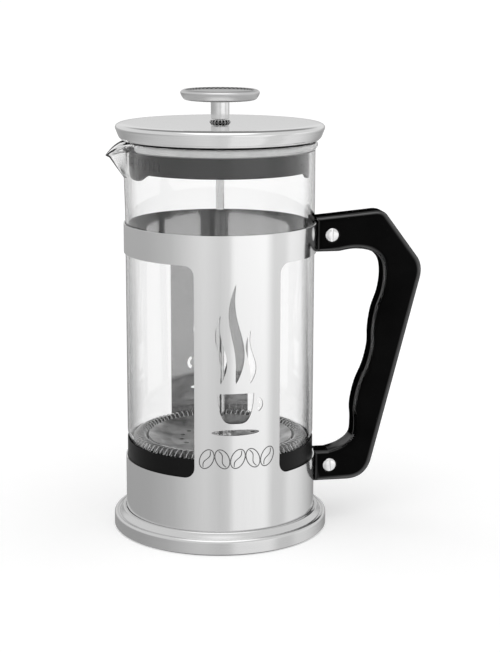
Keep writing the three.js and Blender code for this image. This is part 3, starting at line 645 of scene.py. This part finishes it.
# HANDLE. A thick slab of gloss black plastic, moulded solid with rounded edges. Its arm reaches out from
# the frame's upper band, its back runs down to the lower one, and finger grooves shape its inner side.
HANDLE_HALF_WIDTH = 7.5
HANDLE_ROUNDING = 3.3
SADDLE_RADIUS = 48.65
ARM_START = 158.8
ARM_END = 161.7
KNUCKLE = Vector((83.0, 162.2))
ELBOW = Vector((104.7, 133.0))
HEEL = Vector((76.4, 20.7))
GROOVES = [
    (60, 141.2), (68.5, 142.3), (76.8, 140.9), (82.2, 136.4), (83.7, 129.0), (82.6, 119.6),
    (79.4, 110), (77.9, 100), (77.7, 91), (75.4, 81), (71.3, 71), (69.0, 60), (69.3, 51),
    (68.3, 43.5), (62.6, 38.9), (55.5, 36.7),
]
SCREW_HEAD = 3.4  # radius
SCREW_RECESS = 1.1


def eased(start, control, end, steps=12):
    """A rounded corner that leaves one straight side and joins the next."""
    points = []
    for i in range(steps + 1):
        t = i / steps
        points.append(start * (1 - t) ** 2 + control * 2 * t * (1 - t) + end * t ** 2)
    return points


def flowing(points, steps=7):
    """A smooth line through every point."""
    points = [Vector(p) for p in points]
    line = [points[0]]
    for i in range(len(points) - 1):
        before = points[max(0, i - 1)]
        here = points[i]
        there = points[i + 1]
        after = points[min(len(points) - 1, i + 2)]
        leave = (there - before) / 2
        arrive = (after - here) / 2
        for k in range(1, steps + 1):
            t = k / steps
            cubic = (here * 2 - there * 2 + leave + arrive) * t ** 3
            square = (there * 3 - here * 3 - leave * 2 - arrive) * t ** 2
            line.append(cubic + square + leave * t + here)
    return line


slope = (ELBOW - KNUCKLE).normalized()
grip = (HEEL - ELBOW).normalized()
start = SADDLE_RADIUS - 0.3
outline = [
    Vector((start, HEEL.y)),
    *eased(Vector((HEEL.x - 11, HEEL.y)), HEEL, HEEL - 11 * grip),
    *eased(ELBOW + 7 * grip, ELBOW, ELBOW - 6 * slope),
    *eased(KNUCKLE + 4 * slope, KNUCKLE, Vector((KNUCKLE.x - 5, ARM_END - 0.2))),
    Vector((start, ARM_START)),
    Vector((start, GROOVES[0][1])),
    *flowing(GROOVES),
    Vector((start, GROOVES[-1][1])),
]
handle = bmesh.new()
corners = [handle.verts.new((p.x, -HANDLE_HALF_WIDTH, p.y)) for p in outline]
handle.faces.new(corners)
thicken(handle, (0, 2 * HANDLE_HALF_WIDTH, 0))
edges = [e for e in handle.edges if abs(e.verts[0].co.y - e.verts[1].co.y) < 1e-6]
bmesh.ops.bevel(handle, geom=edges, offset=HANDLE_ROUNDING, offset_type="OFFSET", segments=10,
                profile=0.5, affect="EDGES", material=-1, clamp_overlap=True)
for side in (-1, 1):
    cap = max(handle.faces, key=lambda face: face.calc_area() * (face.normal.y * side > 0.9))
    rims = cap.edges[:]
    handle.faces.remove(cap)
    circles = []
    for x, z in (UPPER_SCREW, LOWER_SCREW):
        for drop, rim in ((0, 0.55), (0.25, 0.3), (SCREW_RECESS, 0.3)):
            radius = SCREW_HEAD + rim
            turn = Matrix.Translation((x, side * (HANDLE_HALF_WIDTH - drop), z))
            turn = turn @ Matrix.Rotation(math.pi / 2, 4, "X")
            ring = bmesh.ops.create_circle(handle, segments=48, radius=radius, matrix=turn)
            circles.append([e for e in handle.edges if all(v in ring["verts"] for v in e.verts)])
    bmesh.ops.triangle_fill(handle, edges=rims + circles[0] + circles[3], use_beauty=True)
    for i in (0, 3):
        bmesh.ops.bridge_loops(handle, edges=circles[i] + circles[i + 1])
        bmesh.ops.bridge_loops(handle, edges=circles[i + 1] + circles[i + 2])
        bmesh.ops.edgeloop_fill(handle, edges=circles[i + 2])
bmesh.ops.recalc_face_normals(handle, faces=handle.faces)
bmesh.ops.scale(handle, verts=handle.verts, vec=(MM, MM, MM))
for vert in handle.verts:
    if vert.co.x < (SADDLE_RADIUS - 0.2) * MM:
        vert.co.x = math.sqrt((SADDLE_RADIUS * MM) ** 2 - vert.co.y ** 2)

gloss, gloss_shader, gloss_place = finish_of("handle_gloss", (0.002, 0.002, 0.002), 0.07)
tilt = add_node(gloss, "ShaderNodeLayerWeight", Blend=0.5)
shine = add_node(gloss, "ShaderNodeValToRGB", Fac=tilt.outputs["Facing"])
shine_stops = shine.color_ramp.elements
shine_stops[0].position = 0.08
shine_stops[0].color = (0.02, 0.02, 0.02, 1)
shine_stops[1].position = 0.95
shine_stops[1].color = (0, 0, 0, 1)
for place, level in ((0.26, 1.0), (0.5, 0.8), (0.68, 0.0)):
    shine_stops.new(place).color = (level, level, level, 1)
gloss.node_tree.links.new(shine.outputs[0], gloss_shader.inputs["Specular IOR Level"])
handling = roughen(gloss, gloss_shader, gloss_place, 60, 0.05, 0.1, 6.0)
flow = add_node(gloss, "ShaderNodeTexNoise", Vector=gloss_place, Scale=95.0, Detail=1.0)
emboss(gloss, gloss_shader, flow.outputs["Fac"], 0.5, 0.002)
vary(gloss, gloss_shader, handling.outputs["Fac"], (0.0015, 0.0015, 0.0015), (0.003, 0.003, 0.003))
shown("handle_grip", handle, "frame", gloss, ["handle"])

# HANDLE SCREWS AND SLEEVE NUTS. Turned and plated steel. Each screw passes through the sheet's two tabs
# into a sleeve nut that comes from the other side, and both have a slotted head, slightly domed.
HEAD_DEPTH = 1.5
SLOT_HALF_WIDTH = 0.5
SLOT_DEPTH = 0.75


def slotted(shank_radius, shank_length, bore_radius):
    """A slotted head above Z = 0, in millimetres, with its shank below."""
    floor_height = HEAD_DEPTH - SLOT_DEPTH
    shank = [
        [bore_radius, -shank_length],
        [shank_radius - 0.2, -shank_length],
        [shank_radius, -shank_length + 0.2],
        [shank_radius, 0],
        [SCREW_HEAD - 0.1, 0],
        [SCREW_HEAD, 0.1],
        [SCREW_HEAD, floor_height],
        [bore_radius, floor_height],
    ]
    dome = [
        [0, floor_height],
        [SCREW_HEAD, floor_height],
        [SCREW_HEAD, HEAD_DEPTH - 0.55],
        [SCREW_HEAD - 0.2, HEAD_DEPTH - 0.33],
        [SCREW_HEAD - 0.7, HEAD_DEPTH - 0.17],
        [SCREW_HEAD - 1.6, HEAD_DEPTH - 0.04],
        [0, HEAD_DEPTH],
    ]
    whole = turned(shank, 48)
    for side in (-1, 1):
        half = turned(dome, 48)
        cut = bmesh.ops.bisect_plane(half, geom=half.verts[:] + half.edges[:] + half.faces[:],
                                     plane_co=(0, side * SLOT_HALF_WIDTH * MM, 0),
                                     plane_no=(0, -side, 0), clear_outer=True)
        rim = [g for g in cut["geom_cut"] if isinstance(g, bmesh.types.BMEdge)]
        bmesh.ops.edgeloop_fill(half, edges=rim)
        bmesh.ops.recalc_face_normals(half, faces=half.faces)
        part = bpy.data.meshes.new("half_head")
        half.to_mesh(part)
        half.free()
        whole.from_mesh(part)
        bpy.data.meshes.remove(part)
    return whole


def across(bm, side, place, slot_turn):
    """Lays a fastener across the handle, with its head on one side of it."""
    underside = HANDLE_HALF_WIDTH - SCREW_RECESS + 0.3
    x, z = place
    turn = Matrix.Rotation(-side * math.pi / 2, 4, "X") @ Matrix.Rotation(math.radians(slot_turn), 4, "Z")
    there = Matrix.Translation(Vector((x, side * underside, z)) * MM)
    bmesh.ops.transform(bm, matrix=there @ turn, verts=bm.verts)


handle_plating = plated("handle_plating")
for place, spot, slot_turn in (("upper", UPPER_SCREW, 88), ("lower", LOWER_SCREW, 93)):
    screw = slotted(1.1, 11.0, 0.0)
    across(screw, -1, spot, slot_turn)
    screw_node = f"handle_screw_{place}"
    shown(f"slotted_screw_{place}", screw, "frame", handle_plating, [screw_node])
    nut = slotted(1.9, 5.0, 1.4)
    across(nut, 1, spot, slot_turn + 50)
    shown(f"sleeve_nut_{place}", nut, "frame", handle_plating, [f"handle_nut_{place}"])

# BEAKER. Borosilicate glass, blown in a mould: a straight wall on a rounded heel. The rim is fire-polished
# into a thick bead, made bright with painted light, and while it was soft a pouring lip was pulled out of it.
GLASS_WALL = 1.4
GLASS_RADIUS = 47.4
HEEL_RADIUS = 46.65
HEEL_CORNER = 6.0
LIP_REACH = 9.0
LIP_DROP = 6.2
LIP_START = 179.0
LIP_HALF_ANGLE = 19.0
SMOOTHED_FROM = -0.040  # metres, like the next one
SMOOTHED_HALF_WIDTH = 0.012
glass_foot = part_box("glass_beaker")[0].z / MM
glass_top = 197.6
inner = GLASS_RADIUS - GLASS_WALL
inner_heel = HEEL_RADIUS - GLASS_WALL
glass_floor = glass_foot + 1.6
inner_corner = HEEL_CORNER - GLASS_WALL
pulled = [LIP_START + (glass_top - 4.2 - LIP_START) * i / 14 for i in range(15)]
bead = 1.55
RIM_RADIUS = 48.6
beaker = turned([
    [0, glass_foot],
    [28, glass_foot],
    *arc(HEEL_RADIUS - HEEL_CORNER, glass_foot + HEEL_CORNER, HEEL_CORNER, -90, 0, 12),
    [HEEL_RADIUS, 46.9],
    [HEEL_RADIUS + 0.12, 47.8],
    [GLASS_RADIUS - 0.12, 49.6],
    [GLASS_RADIUS, 50.5],
    *[[GLASS_RADIUS, height] for height in pulled],
    [GLASS_RADIUS, glass_top - 3.6],
    *arc(RIM_RADIUS - bead, glass_top - bead, bead, -45, 135, 12),
    [inner + 0.02, glass_top - 1.3],
    [inner, glass_top - 2.4],
    *[[inner, height] for height in pulled[::-1]],
    [inner, 50.5],
    [inner - 0.12, 49.6],
    [inner_heel + 0.12, 47.8],
    [inner_heel, 46.9],
    *arc(inner_heel - inner_corner, glass_floor + inner_corner, inner_corner, 0, -90, 10),
    [28, glass_floor],
    [0, glass_floor],
], 288)
for vert in beaker.verts:
    x, y, height = vert.co / MM
    off_lip = 180 - abs(math.degrees(math.atan2(y, x)))
    if height > LIP_START and off_lip < LIP_HALF_ANGLE:
        pull = (1 - off_lip / LIP_HALF_ANGLE) ** 1.6
        rise = min(1, (height - LIP_START) / (glass_top - LIP_START))
        radius = math.hypot(x, y)
        wider = (radius + LIP_REACH * pull * (1.5 * rise - 0.5 * rise ** 2)) / radius
        vert.co = Vector((x * wider, y * wider, height - LIP_DROP * pull ** 1.7 * rise ** 2)) * MM
upper = [v for v in beaker.verts if v.co.z > LIP_START * MM]
around_lip = [v for v in upper if v.co.x < SMOOTHED_FROM and abs(v.co.y) < SMOOTHED_HALF_WIDTH]
bmesh.ops.smooth_vert(beaker, verts=around_lip, factor=0.5,
                      use_axis_x=True, use_axis_y=True, use_axis_z=True)
bmesh.ops.recalc_face_normals(beaker, faces=beaker.faces)

glass, glass_shader, glass_place = finish_of("beaker_glass", (1.0, 1.0, 1.0), 0.0)
glass_shader.inputs["Transmission Weight"].default_value = 1.0
glass_shader.inputs["IOR"].default_value = 1.47
drawn = add_node(glass, "ShaderNodeMapping", Vector=glass_place, Scale=(16, 16, 5))
ripple = roughen(glass, glass_shader, drawn.outputs[0], 1.0, 0.0, 0.001, 1.0)
emboss(glass, glass_shader, ripple.outputs["Fac"], 0.04, 0.0006)
slant = add_node(glass, "ShaderNodeLayerWeight", Blend=0.5)
# The glass's edges get painted shade towards grazing angles, a little wider low down than near the rim.
glass_height = add_node(glass, "ShaderNodeSeparateXYZ", Vector=glass_place)
shade_widening_low_down = add_node(glass, "ShaderNodeMapRange", Value=glass_height.outputs["Z"],
                     From_Min=0.05, From_Max=0.17, To_Min=1.12, To_Max=0.94)
edge_shade_depth = add_node(glass, "ShaderNodeMath", i0=slant.outputs["Facing"], i1=shade_widening_low_down.outputs[0])
edge_shade_depth.operation = "MULTIPLY"
painted_edge_shade = add_node(glass, "ShaderNodeValToRGB", Fac=edge_shade_depth.outputs[0])
shade_ramp_stops = painted_edge_shade.color_ramp.elements
shade_ramp_stops[0].position = 0.52
shade_ramp_stops[0].color = (1, 1, 1, 1)
shade_ramp_stops[1].position = 1.0
shade_ramp_stops[1].color = (0.04, 0.04, 0.04, 1)
glass.node_tree.links.new(painted_edge_shade.outputs[0], glass_shader.inputs["Base Color"])
body_tint = glass.node_tree.nodes.new("ShaderNodeVolumeAbsorption")
body_tint.inputs["Color"].default_value = (0.6, 0.6, 0.6, 1)
body_tint.inputs["Density"].default_value = 70
glass_output = glass.node_tree.nodes["Material Output"]
glass.node_tree.links.new(body_tint.outputs[0], glass_output.inputs["Volume"])
wall = shown("beaker_wall", beaker, "beaker", glass, ["glass_beaker"], crease=50)

# The bead's faces take a half white, half clear glass: painted light for the brightness of the thick bead.
rim_glass_painted_light, rim_shader, rim_place = finish_of("rim_glass_painted_light", (0.9, 0.9, 0.9), 0.02)
rim_shader.inputs["Transmission Weight"].default_value = 0.5
rim_shader.inputs["IOR"].default_value = 1.47
rim_shader.inputs["Specular IOR Level"].default_value = 1.0
polish_and_painted_light = roughen(rim_glass_painted_light, rim_shader, rim_place, 300, 0.0, 0.05)
vary(rim_glass_painted_light, rim_shader, polish_and_painted_light.outputs["Fac"], (0.88, 0.88, 0.88), (0.97, 0.97, 0.97))
wall.data.materials.append(rim_glass_painted_light)
for face in wall.data.polygons:
    x, y, height = face.center / MM
    off_lip = 180 - abs(math.degrees(math.atan2(y, x)))
    if height > glass_top - 3.5 and off_lip > LIP_HALF_ANGLE + 3:
        face.material_index = 1

# LID SHELL. A cap pressed from stainless sheet and polished, drawn in towards its lower edge, with a
# soft round where the flat top turns down. Its centre hole takes the bushing.
lid_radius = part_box("lid_shell")[1].x / MM
lid_bottom, lid_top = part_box("lid_shell")[0].z / MM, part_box("lid_shell")[1].z / MM
LID_SHEET = 0.8
LID_LOWER_RADIUS = 49.3
LID_CROWN = 0.45
BUSHING_HOLE = 4.3
crown = lid_top + LID_CROWN
brim = crown - 2.2
middle = (lid_top + lid_bottom) / 2
waist = (lid_radius + LID_LOWER_RADIUS) / 2 + 0.25
lid_side = flowing([
    (LID_LOWER_RADIUS + 0.25, lid_bottom + 0.9),
    (lid_radius - 1.95, brim - 4.9),
    (lid_radius - 1.2, brim - 3.3),
    (lid_radius - 0.55, brim - 1.6),
    (lid_radius, brim),
    (lid_radius - 0.5, brim + 1.15),
    (lid_radius - 1.7, brim + 1.85),
    (lid_radius - 3.4, brim + 2.12),
    (lid_radius - 6, crown),
], 5)
lid = turned([
    [BUSHING_HOLE, crown - LID_SHEET],
    [lid_radius - 6, crown - LID_SHEET],
    [lid_radius - 3.8, crown - LID_SHEET - 0.12],
    [lid_radius - 2.3, brim + 1.0],
    [lid_radius - 1.4, brim + 0.5],
    [lid_radius - 1.0, brim - 0.3],
    [waist - LID_SHEET, middle],
    [LID_LOWER_RADIUS - LID_SHEET + 0.4, lid_bottom + 1.8],
    [LID_LOWER_RADIUS - LID_SHEET, lid_bottom + 0.3],
    *arc(LID_LOWER_RADIUS - LID_SHEET / 2, lid_bottom + LID_SHEET / 2, LID_SHEET / 2, 210, 360, 6),
    *lid_side,
    [BUSHING_HOLE, crown],
])
lid_steel = lathe_brushed("lid_steel", (0.80, 0.80, 0.80), 0.05, 0.09, 0.02)
shown("lid_cap", lid, "lid", lid_steel, ["lid_shell"])

# LID LINER. Dark grey plastic, moulded as a skirt that drops into the beaker under a flange that rests
# above its rim. Deep slots in the skirt's front strain the coffee, and its lower edge hangs lower there.
LINER_RADIUS = 44.4
LINER_WALL = 1.5
LINER_WEB = 199.0
LINER_FLANGE = 47.9
LINER_BOTTOM = 183.4
SLOT_BOTTOM = 185.6
SLOT_TOP = 191.0
SLOT_WIDTH = 1.3
SLOT_PITCH = 4.0
SLOTS = 21
liner_middle = LINER_RADIUS - LINER_WALL / 2
half_round = math.pi * liner_middle


def liner_edge(off_lip):
    """The height of the skirt's lower edge, by degrees from the lip."""
    def lobe(inside, outside, angle):
        part = min(1, max(0, (angle - inside) / (outside - inside)))
        return 1 - part * part * (3 - 2 * part)
    return LINER_BOTTOM - 3.6 * lobe(17, 31, off_lip) - 3 * lobe(24, 34, 180 - off_lip)


skirt_loops = [[]]
for i in range(241):
    turn_part = i / 120 - 1
    skirt_loops[0].append([half_round * turn_part, liner_edge(abs(turn_part) * 180)])
skirt_loops[0] += [[half_round, LINER_WEB + 0.3], [-half_round, LINER_WEB + 0.3]]
for i in range(SLOTS):
    place = liner_middle * math.radians((i - (SLOTS - 1) / 2) * SLOT_PITCH)
    half = SLOT_WIDTH / 2
    skirt_loops.append(window(place - half, place + half, SLOT_BOTTOM, SLOT_TOP, half * 0.98))


def round_skirt(along, height, out):
    """Where a point of the flat skirt comes to lie round the axis."""
    angle = math.pi + along / liner_middle
    radius = liner_middle + out
    return Vector((radius * math.cos(angle), radius * math.sin(angle), height)) * MM


skirt = sheet_of(skirt_loops, LINER_WALL)
strips(skirt, -half_round, half_round, 1.3)
wrap(skirt, round_skirt)
liner_plastic = moulded("liner_plastic", (0.02, 0.02, 0.02), 0.25, 0.35, specular=0.08)
shown("liner_skirt", skirt, "lid", liner_plastic, ["lid_liner"])

flange = turned([
    [BUSHING_HOLE, LINER_WEB],
    [LINER_RADIUS - LINER_WALL, LINER_WEB],
    [LINER_RADIUS - 0.1, LINER_WEB - 0.9],
    [LINER_FLANGE - 0.3, LINER_WEB - 0.9],
    [LINER_FLANGE, LINER_WEB - 0.6],
    [LINER_FLANGE, LINER_WEB + 1.3],
    [LINER_FLANGE - 0.3, LINER_WEB + 1.6],
    [9, LINER_WEB + 1.6],
    [9, lid_top - LID_SHEET - 0.3],
    [BUSHING_HOLE, lid_top - LID_SHEET - 0.3],
])
shown("liner_flange", flange, "lid", liner_plastic, ["lid_liner"])

# LID BUSHING AND ITS NUT. A turned brass bushing, chromed, with a fluted cone for a head; the flutes carry
# painted shade.
# It guides the rod through the lid. A plated hexagon nut clamps shell and liner together from below.
bushing_end, bushing_top = span("lid_bushing")[1:]
FLUTES = 18
FLUTED_FROM = 4.2  # radius
FLUTE_DEPTH = 0.08  # share of the radius
FLUTE_PAINTED_SHADE_FROM = 0.4
BUSHING_FOOT = 5.35


def fold_of(x, y, count):
    """1 at each of a number of even places round the axis, and 0 halfway between them."""
    return abs(math.atan2(y, x) / (2 * math.pi) * count % 1 * 2 - 1)


bushing = turned([
    [2.5, bushing_end],
    [3.6, bushing_end],
    [3.9, bushing_end + 0.3],
    [3.9, crown + 0.05],
    [BUSHING_FOOT - 0.1, crown + 0.05],
    [BUSHING_FOOT, crown + 0.15],
    [BUSHING_FOOT - 0.2, crown + 0.45],
    [BUSHING_FOOT - 0.65, crown + 1.15],
    [BUSHING_FOOT - 0.9, bushing_top - 0.2],
    [BUSHING_FOOT - 1.05, bushing_top],
    [2.7, bushing_top],
    [2.5, bushing_top - 0.2],
], 6 * FLUTES)
for vert in bushing.verts:
    x, y, height = vert.co / MM
    if math.hypot(x, y) > FLUTED_FROM and crown + 0.3 < height < bushing_top - 0.3:
        fold = fold_of(x, y, FLUTES)
        vert.co.x *= 1 - FLUTE_DEPTH * fold
        vert.co.y *= 1 - FLUTE_DEPTH * fold
chrome = plated("bushing_chrome", (0.72, 0.72, 0.72), 0.03, 0.07)
flute_painted_shade = plated("flute_painted_shade", (0.03, 0.03, 0.03), 0.2, 0.4)
guide = shown("rod_bushing", bushing, "lid_hub", chrome, ["lid_bushing"])
guide.data.materials.append(flute_painted_shade)
# Faces in the flutes get painted shade.
for face in guide.data.polygons:
    x, y, height = face.center / MM
    fluted = math.hypot(x, y) > FLUTED_FROM and crown + 0.2 < height < bushing_top - 0.25
    if fluted and fold_of(x, y, FLUTES) > FLUTE_PAINTED_SHADE_FROM:
        face.material_index = 1
nut_plating = plated("nut_plating")
recoat("lid_bushing_nut", nut_plating)

# KNOB. A disc of stainless steel, turned with a rounded edge that narrows downwards, pressed on a short
# stem. Its top is a shallow dish, and the dish's sloping wall has a knurl with painted shade on a chequer of
# its faces.
knob_radius, knob_bottom, knob_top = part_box("knob_cap")[1].x / MM, *[c.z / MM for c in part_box("knob_cap")]
KNOB_CROWN = 0.5
KNURL_TEETH = 44
KNURL_RISE = 0.2
KNURL_BAND = 0.3
DISH_DEPTH = 0.75
crest = knob_top + KNOB_CROWN
knurl_outer = knob_radius - 2.5
knurl_inner = knurl_outer - 1.4
knurl_middle = (knurl_outer + knurl_inner) / 2
knob = turned([
    [0, knob_bottom],
    *flowing([
        (knob_radius - 3.4, knob_bottom),
        (knob_radius - 1.9, knob_bottom + 0.45),
        (knob_radius - 0.75, knob_bottom + 1.9),
        (knob_radius - 0.06, crest - 1.7),
        (knob_radius - 0.12, crest - 1.05),
        (knob_radius - 0.85, crest - 0.35),
        (knob_radius - 1.9, crest),
        (knurl_outer, crest - 0.1),
    ], 5),
    [knurl_middle, crest - DISH_DEPTH / 2],
    [knurl_inner, crest - DISH_DEPTH],
    [knurl_inner - 1.2, crest - DISH_DEPTH - 0.05],
    [0, crest - DISH_DEPTH],
], 4 * KNURL_TEETH)
for vert in knob.verts:
    x, y, height = vert.co / MM
    if abs(math.hypot(x, y) - knurl_middle) < KNURL_BAND and height > knob_top - 1:
        vert.co.z += KNURL_RISE * (fold_of(x, y, KNURL_TEETH) - 0.5) * MM
knob_steel = lathe_brushed("knob_steel", (0.66, 0.66, 0.66), 0.3, 0.38, 0.2)
knurl_painted_shade = plated("knurl_painted_shade", (0.06, 0.06, 0.06), 0.3, 0.5)
disc = shown("knob_disc", knob, "plunger", knob_steel, ["knob_cap"])
disc.data.materials.append(knurl_painted_shade)
# A chequer of the knurl's faces gets painted shade.
for face in disc.data.polygons:
    x, y, height = face.center / MM
    radius = math.hypot(x, y)
    cell = math.floor(math.atan2(y, x) / math.pi * KNURL_TEETH)
    row = 1 if radius > knurl_middle else 0
    if knurl_inner < radius < knurl_outer and height > knob_top - 1 and (cell + row) % 2:
        face.material_index = 1

# STEM, ROD AND COLLAR. Bright drawn steel. The stem flares into a small collar under the knob, the rod
# is pressed into it and runs down through the lid, and a flanged collar stops the filter pack above.
rod_radius, rod_foot, rod_top = span("plunger_rod")
stem_radius, stem_foot = span("knob_stem")[:2]
drawn_steel = plated("drawn_steel", (0.74, 0.74, 0.74), 0.05, 0.1)
stem = turned([
    [rod_radius + 0.3, stem_foot],
    [stem_radius - 0.2, stem_foot],
    [stem_radius, stem_foot + 0.2],
    [stem_radius, knob_bottom - 1.2],
    [stem_radius + 0.25, knob_bottom - 0.5],
    [stem_radius + 0.25, knob_bottom - 0.1],
    [0, knob_bottom - 0.1],
    [0, rod_top + 0.3],
    [rod_radius + 0.3, rod_top + 0.3],
], 96)
shown("turned_stem", stem, "plunger", drawn_steel, ["knob_stem"])
rod = turned([
    [0, rod_foot],
    [rod_radius - 0.3, rod_foot],
    [rod_radius, rod_foot + 0.3],
    [rod_radius, rod_top - 0.2],
    [rod_radius - 0.2, rod_top],
    [0, rod_top],
], 64)
rod_steel = plated("rod_steel", (0.6, 0.6, 0.6), 0.02, 0.05)
shown("drawn_rod", rod, "plunger", rod_steel, ["plunger_rod"])
collar_radius, collar_foot, collar_top = span("rod_collar")
collar = turned([
    [rod_radius + 0.3, collar_foot],
    [collar_radius, collar_foot],
    [collar_radius, collar_foot + 1.2],
    [collar_radius - 0.3, collar_foot + 1.5],
    [collar_radius - 1.4, collar_foot + 1.9],
    [collar_radius - 1.6, collar_foot + 2.3],
    [collar_radius - 1.6, collar_top - 0.3],
    [collar_radius - 1.9, collar_top],
    [rod_radius + 0.3, collar_top],
], 72)
shown("flanged_collar", collar, "plunger", drawn_steel, ["rod_collar"])

# FILTER PACK. A dished plate with two rings of holes over a woven screen, a four-armed cross plate
# under it, and a hexagon nut on the rod's thread. All are thin stainless parts, stacked loose.
PLATE_SHEET = 0.7
PLATE_FLAT = 25
plate_radius, plate_foot, plate_top = span("spiral_plate")
plate_outlines = [lens(0, 0, PLATE_FLAT, PLATE_FLAT, 96), lens(0, 0, 2.5, 2.5, 32)]
for ring_radius, holes in ((20, 16), (12, 8)):
    for i in range(holes):
        angle = 2 * math.pi * i / holes
        x, y = ring_radius * math.cos(angle), ring_radius * math.sin(angle)
        plate_outlines.append(lens(x, y, 1.3, 1.3, 16))
plate = sheet_of(plate_outlines, PLATE_SHEET)
bmesh.ops.translate(plate, verts=plate.verts, vec=(0, 0, plate_foot + PLATE_SHEET / 2))
bmesh.ops.scale(plate, verts=plate.verts, vec=(MM, MM, MM))
plate_steel, plate_shader, plate_place = finish_of("plate_steel", (0.4, 0.4, 0.4), 0.06, 1.0)
# The plate's colour wanders from near black to bright in broad patches: painted reflections, over a real
# wander in roughness.
plate_patches_and_painted_reflections = roughen(plate_steel, plate_shader, plate_place, 75, 0.28, 0.34, 2.0)
vary(plate_steel, plate_shader, plate_patches_and_painted_reflections.outputs["Fac"], (0.08, 0.08, 0.08), (0.8, 0.8, 0.8))
emboss(plate_steel, plate_shader, plate_patches_and_painted_reflections.outputs["Fac"], 0.6, 0.002)
shown("plate_centre", plate, "plunger", plate_steel, ["spiral_plate"])
dish = turned([
    [PLATE_FLAT, plate_foot],
    [26.5, plate_foot + 0.1],
    [plate_radius - 0.2, plate_top - PLATE_SHEET],
    *arc(plate_radius - 0.35, plate_top - PLATE_SHEET / 2, PLATE_SHEET / 2, -70, 90, 5),
    [26.3, plate_foot + PLATE_SHEET + 0.1],
    [PLATE_FLAT, plate_foot + PLATE_SHEET],
])
shown("plate_dish", dish, "plunger", plate_steel, ["spiral_plate"])

woven, woven_shader, woven_place = finish_of("woven_screen", (0.5, 0.5, 0.5), 0.35, 1.0)
for axis, phase in (("X", 0), ("Y", 1)):
    threads = add_node(woven, "ShaderNodeTexWave", Vector=woven_place, Scale=1300)
    threads.bands_direction = axis
    if phase == 0:
        first_threads = threads
crossed = add_node(woven, "ShaderNodeMath", i0=first_threads.outputs["Fac"], i1=threads.outputs["Fac"])
crossed.operation = "MAXIMUM"
emboss(woven, woven_shader, crossed.outputs[0], 0.6, 0.0001)
vary(woven, woven_shader, crossed.outputs[0], (0.12, 0.12, 0.12), (0.62, 0.62, 0.62))
for node, material in (("mesh_screen", woven), ("cross_plate", plate_steel), ("plunger_nut", nut_plating)):
    recoat(node, material)

# COIL SPRING. Stainless wire wound in a close coil and joined end to end round the filter pack, which
# it seals to the glass. It is drawn at rest, 1 mm clear of the glass all round.
WIRE_RADIUS = 0.3
COIL_TURNS = 92
COIL_STEPS = 14
spring_low, spring_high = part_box("coil_spring")
coil_radius = (spring_high.z - spring_low.z) / 2 / MM - WIRE_RADIUS
coil_centre = (spring_high.z + spring_low.z) / 2 / MM
coil_ring = spring_high.x / MM - coil_radius - WIRE_RADIUS
wire = bpy.data.curves.new("wound_wire", "CURVE")
wire.dimensions = "3D"
wire.bevel_depth = WIRE_RADIUS * MM
wire.bevel_resolution = 1
path = wire.splines.new("POLY")
path.points.add(COIL_TURNS * COIL_STEPS - 1)
for i, point in enumerate(path.points):
    round_coil = 2 * math.pi * i / COIL_STEPS
    round_axis = round_coil / COIL_TURNS
    radius = coil_ring + coil_radius * math.cos(round_coil)
    height = coil_centre + coil_radius * math.sin(round_coil)
    point.co = (radius * math.cos(round_axis) * MM, radius * math.sin(round_axis) * MM, height * MM, 1)
path.use_cyclic_u = True
winding = bpy.data.objects.new("wound_wire", wire)
spring = bmesh.new()
spring.from_mesh(winding.to_mesh())
winding.to_mesh_clear()
bpy.data.objects.remove(winding)
bpy.data.curves.remove(wire)
bmesh.ops.remove_doubles(spring, verts=spring.verts, dist=1e-7)
bmesh.ops.recalc_face_normals(spring, faces=spring.faces)
spring_steel = plated("spring_wire", (0.9, 0.9, 0.9), 0.3, 0.36)
shown("seal_spring", spring, "plunger", spring_steel, ["coil_spring"], crease=80)
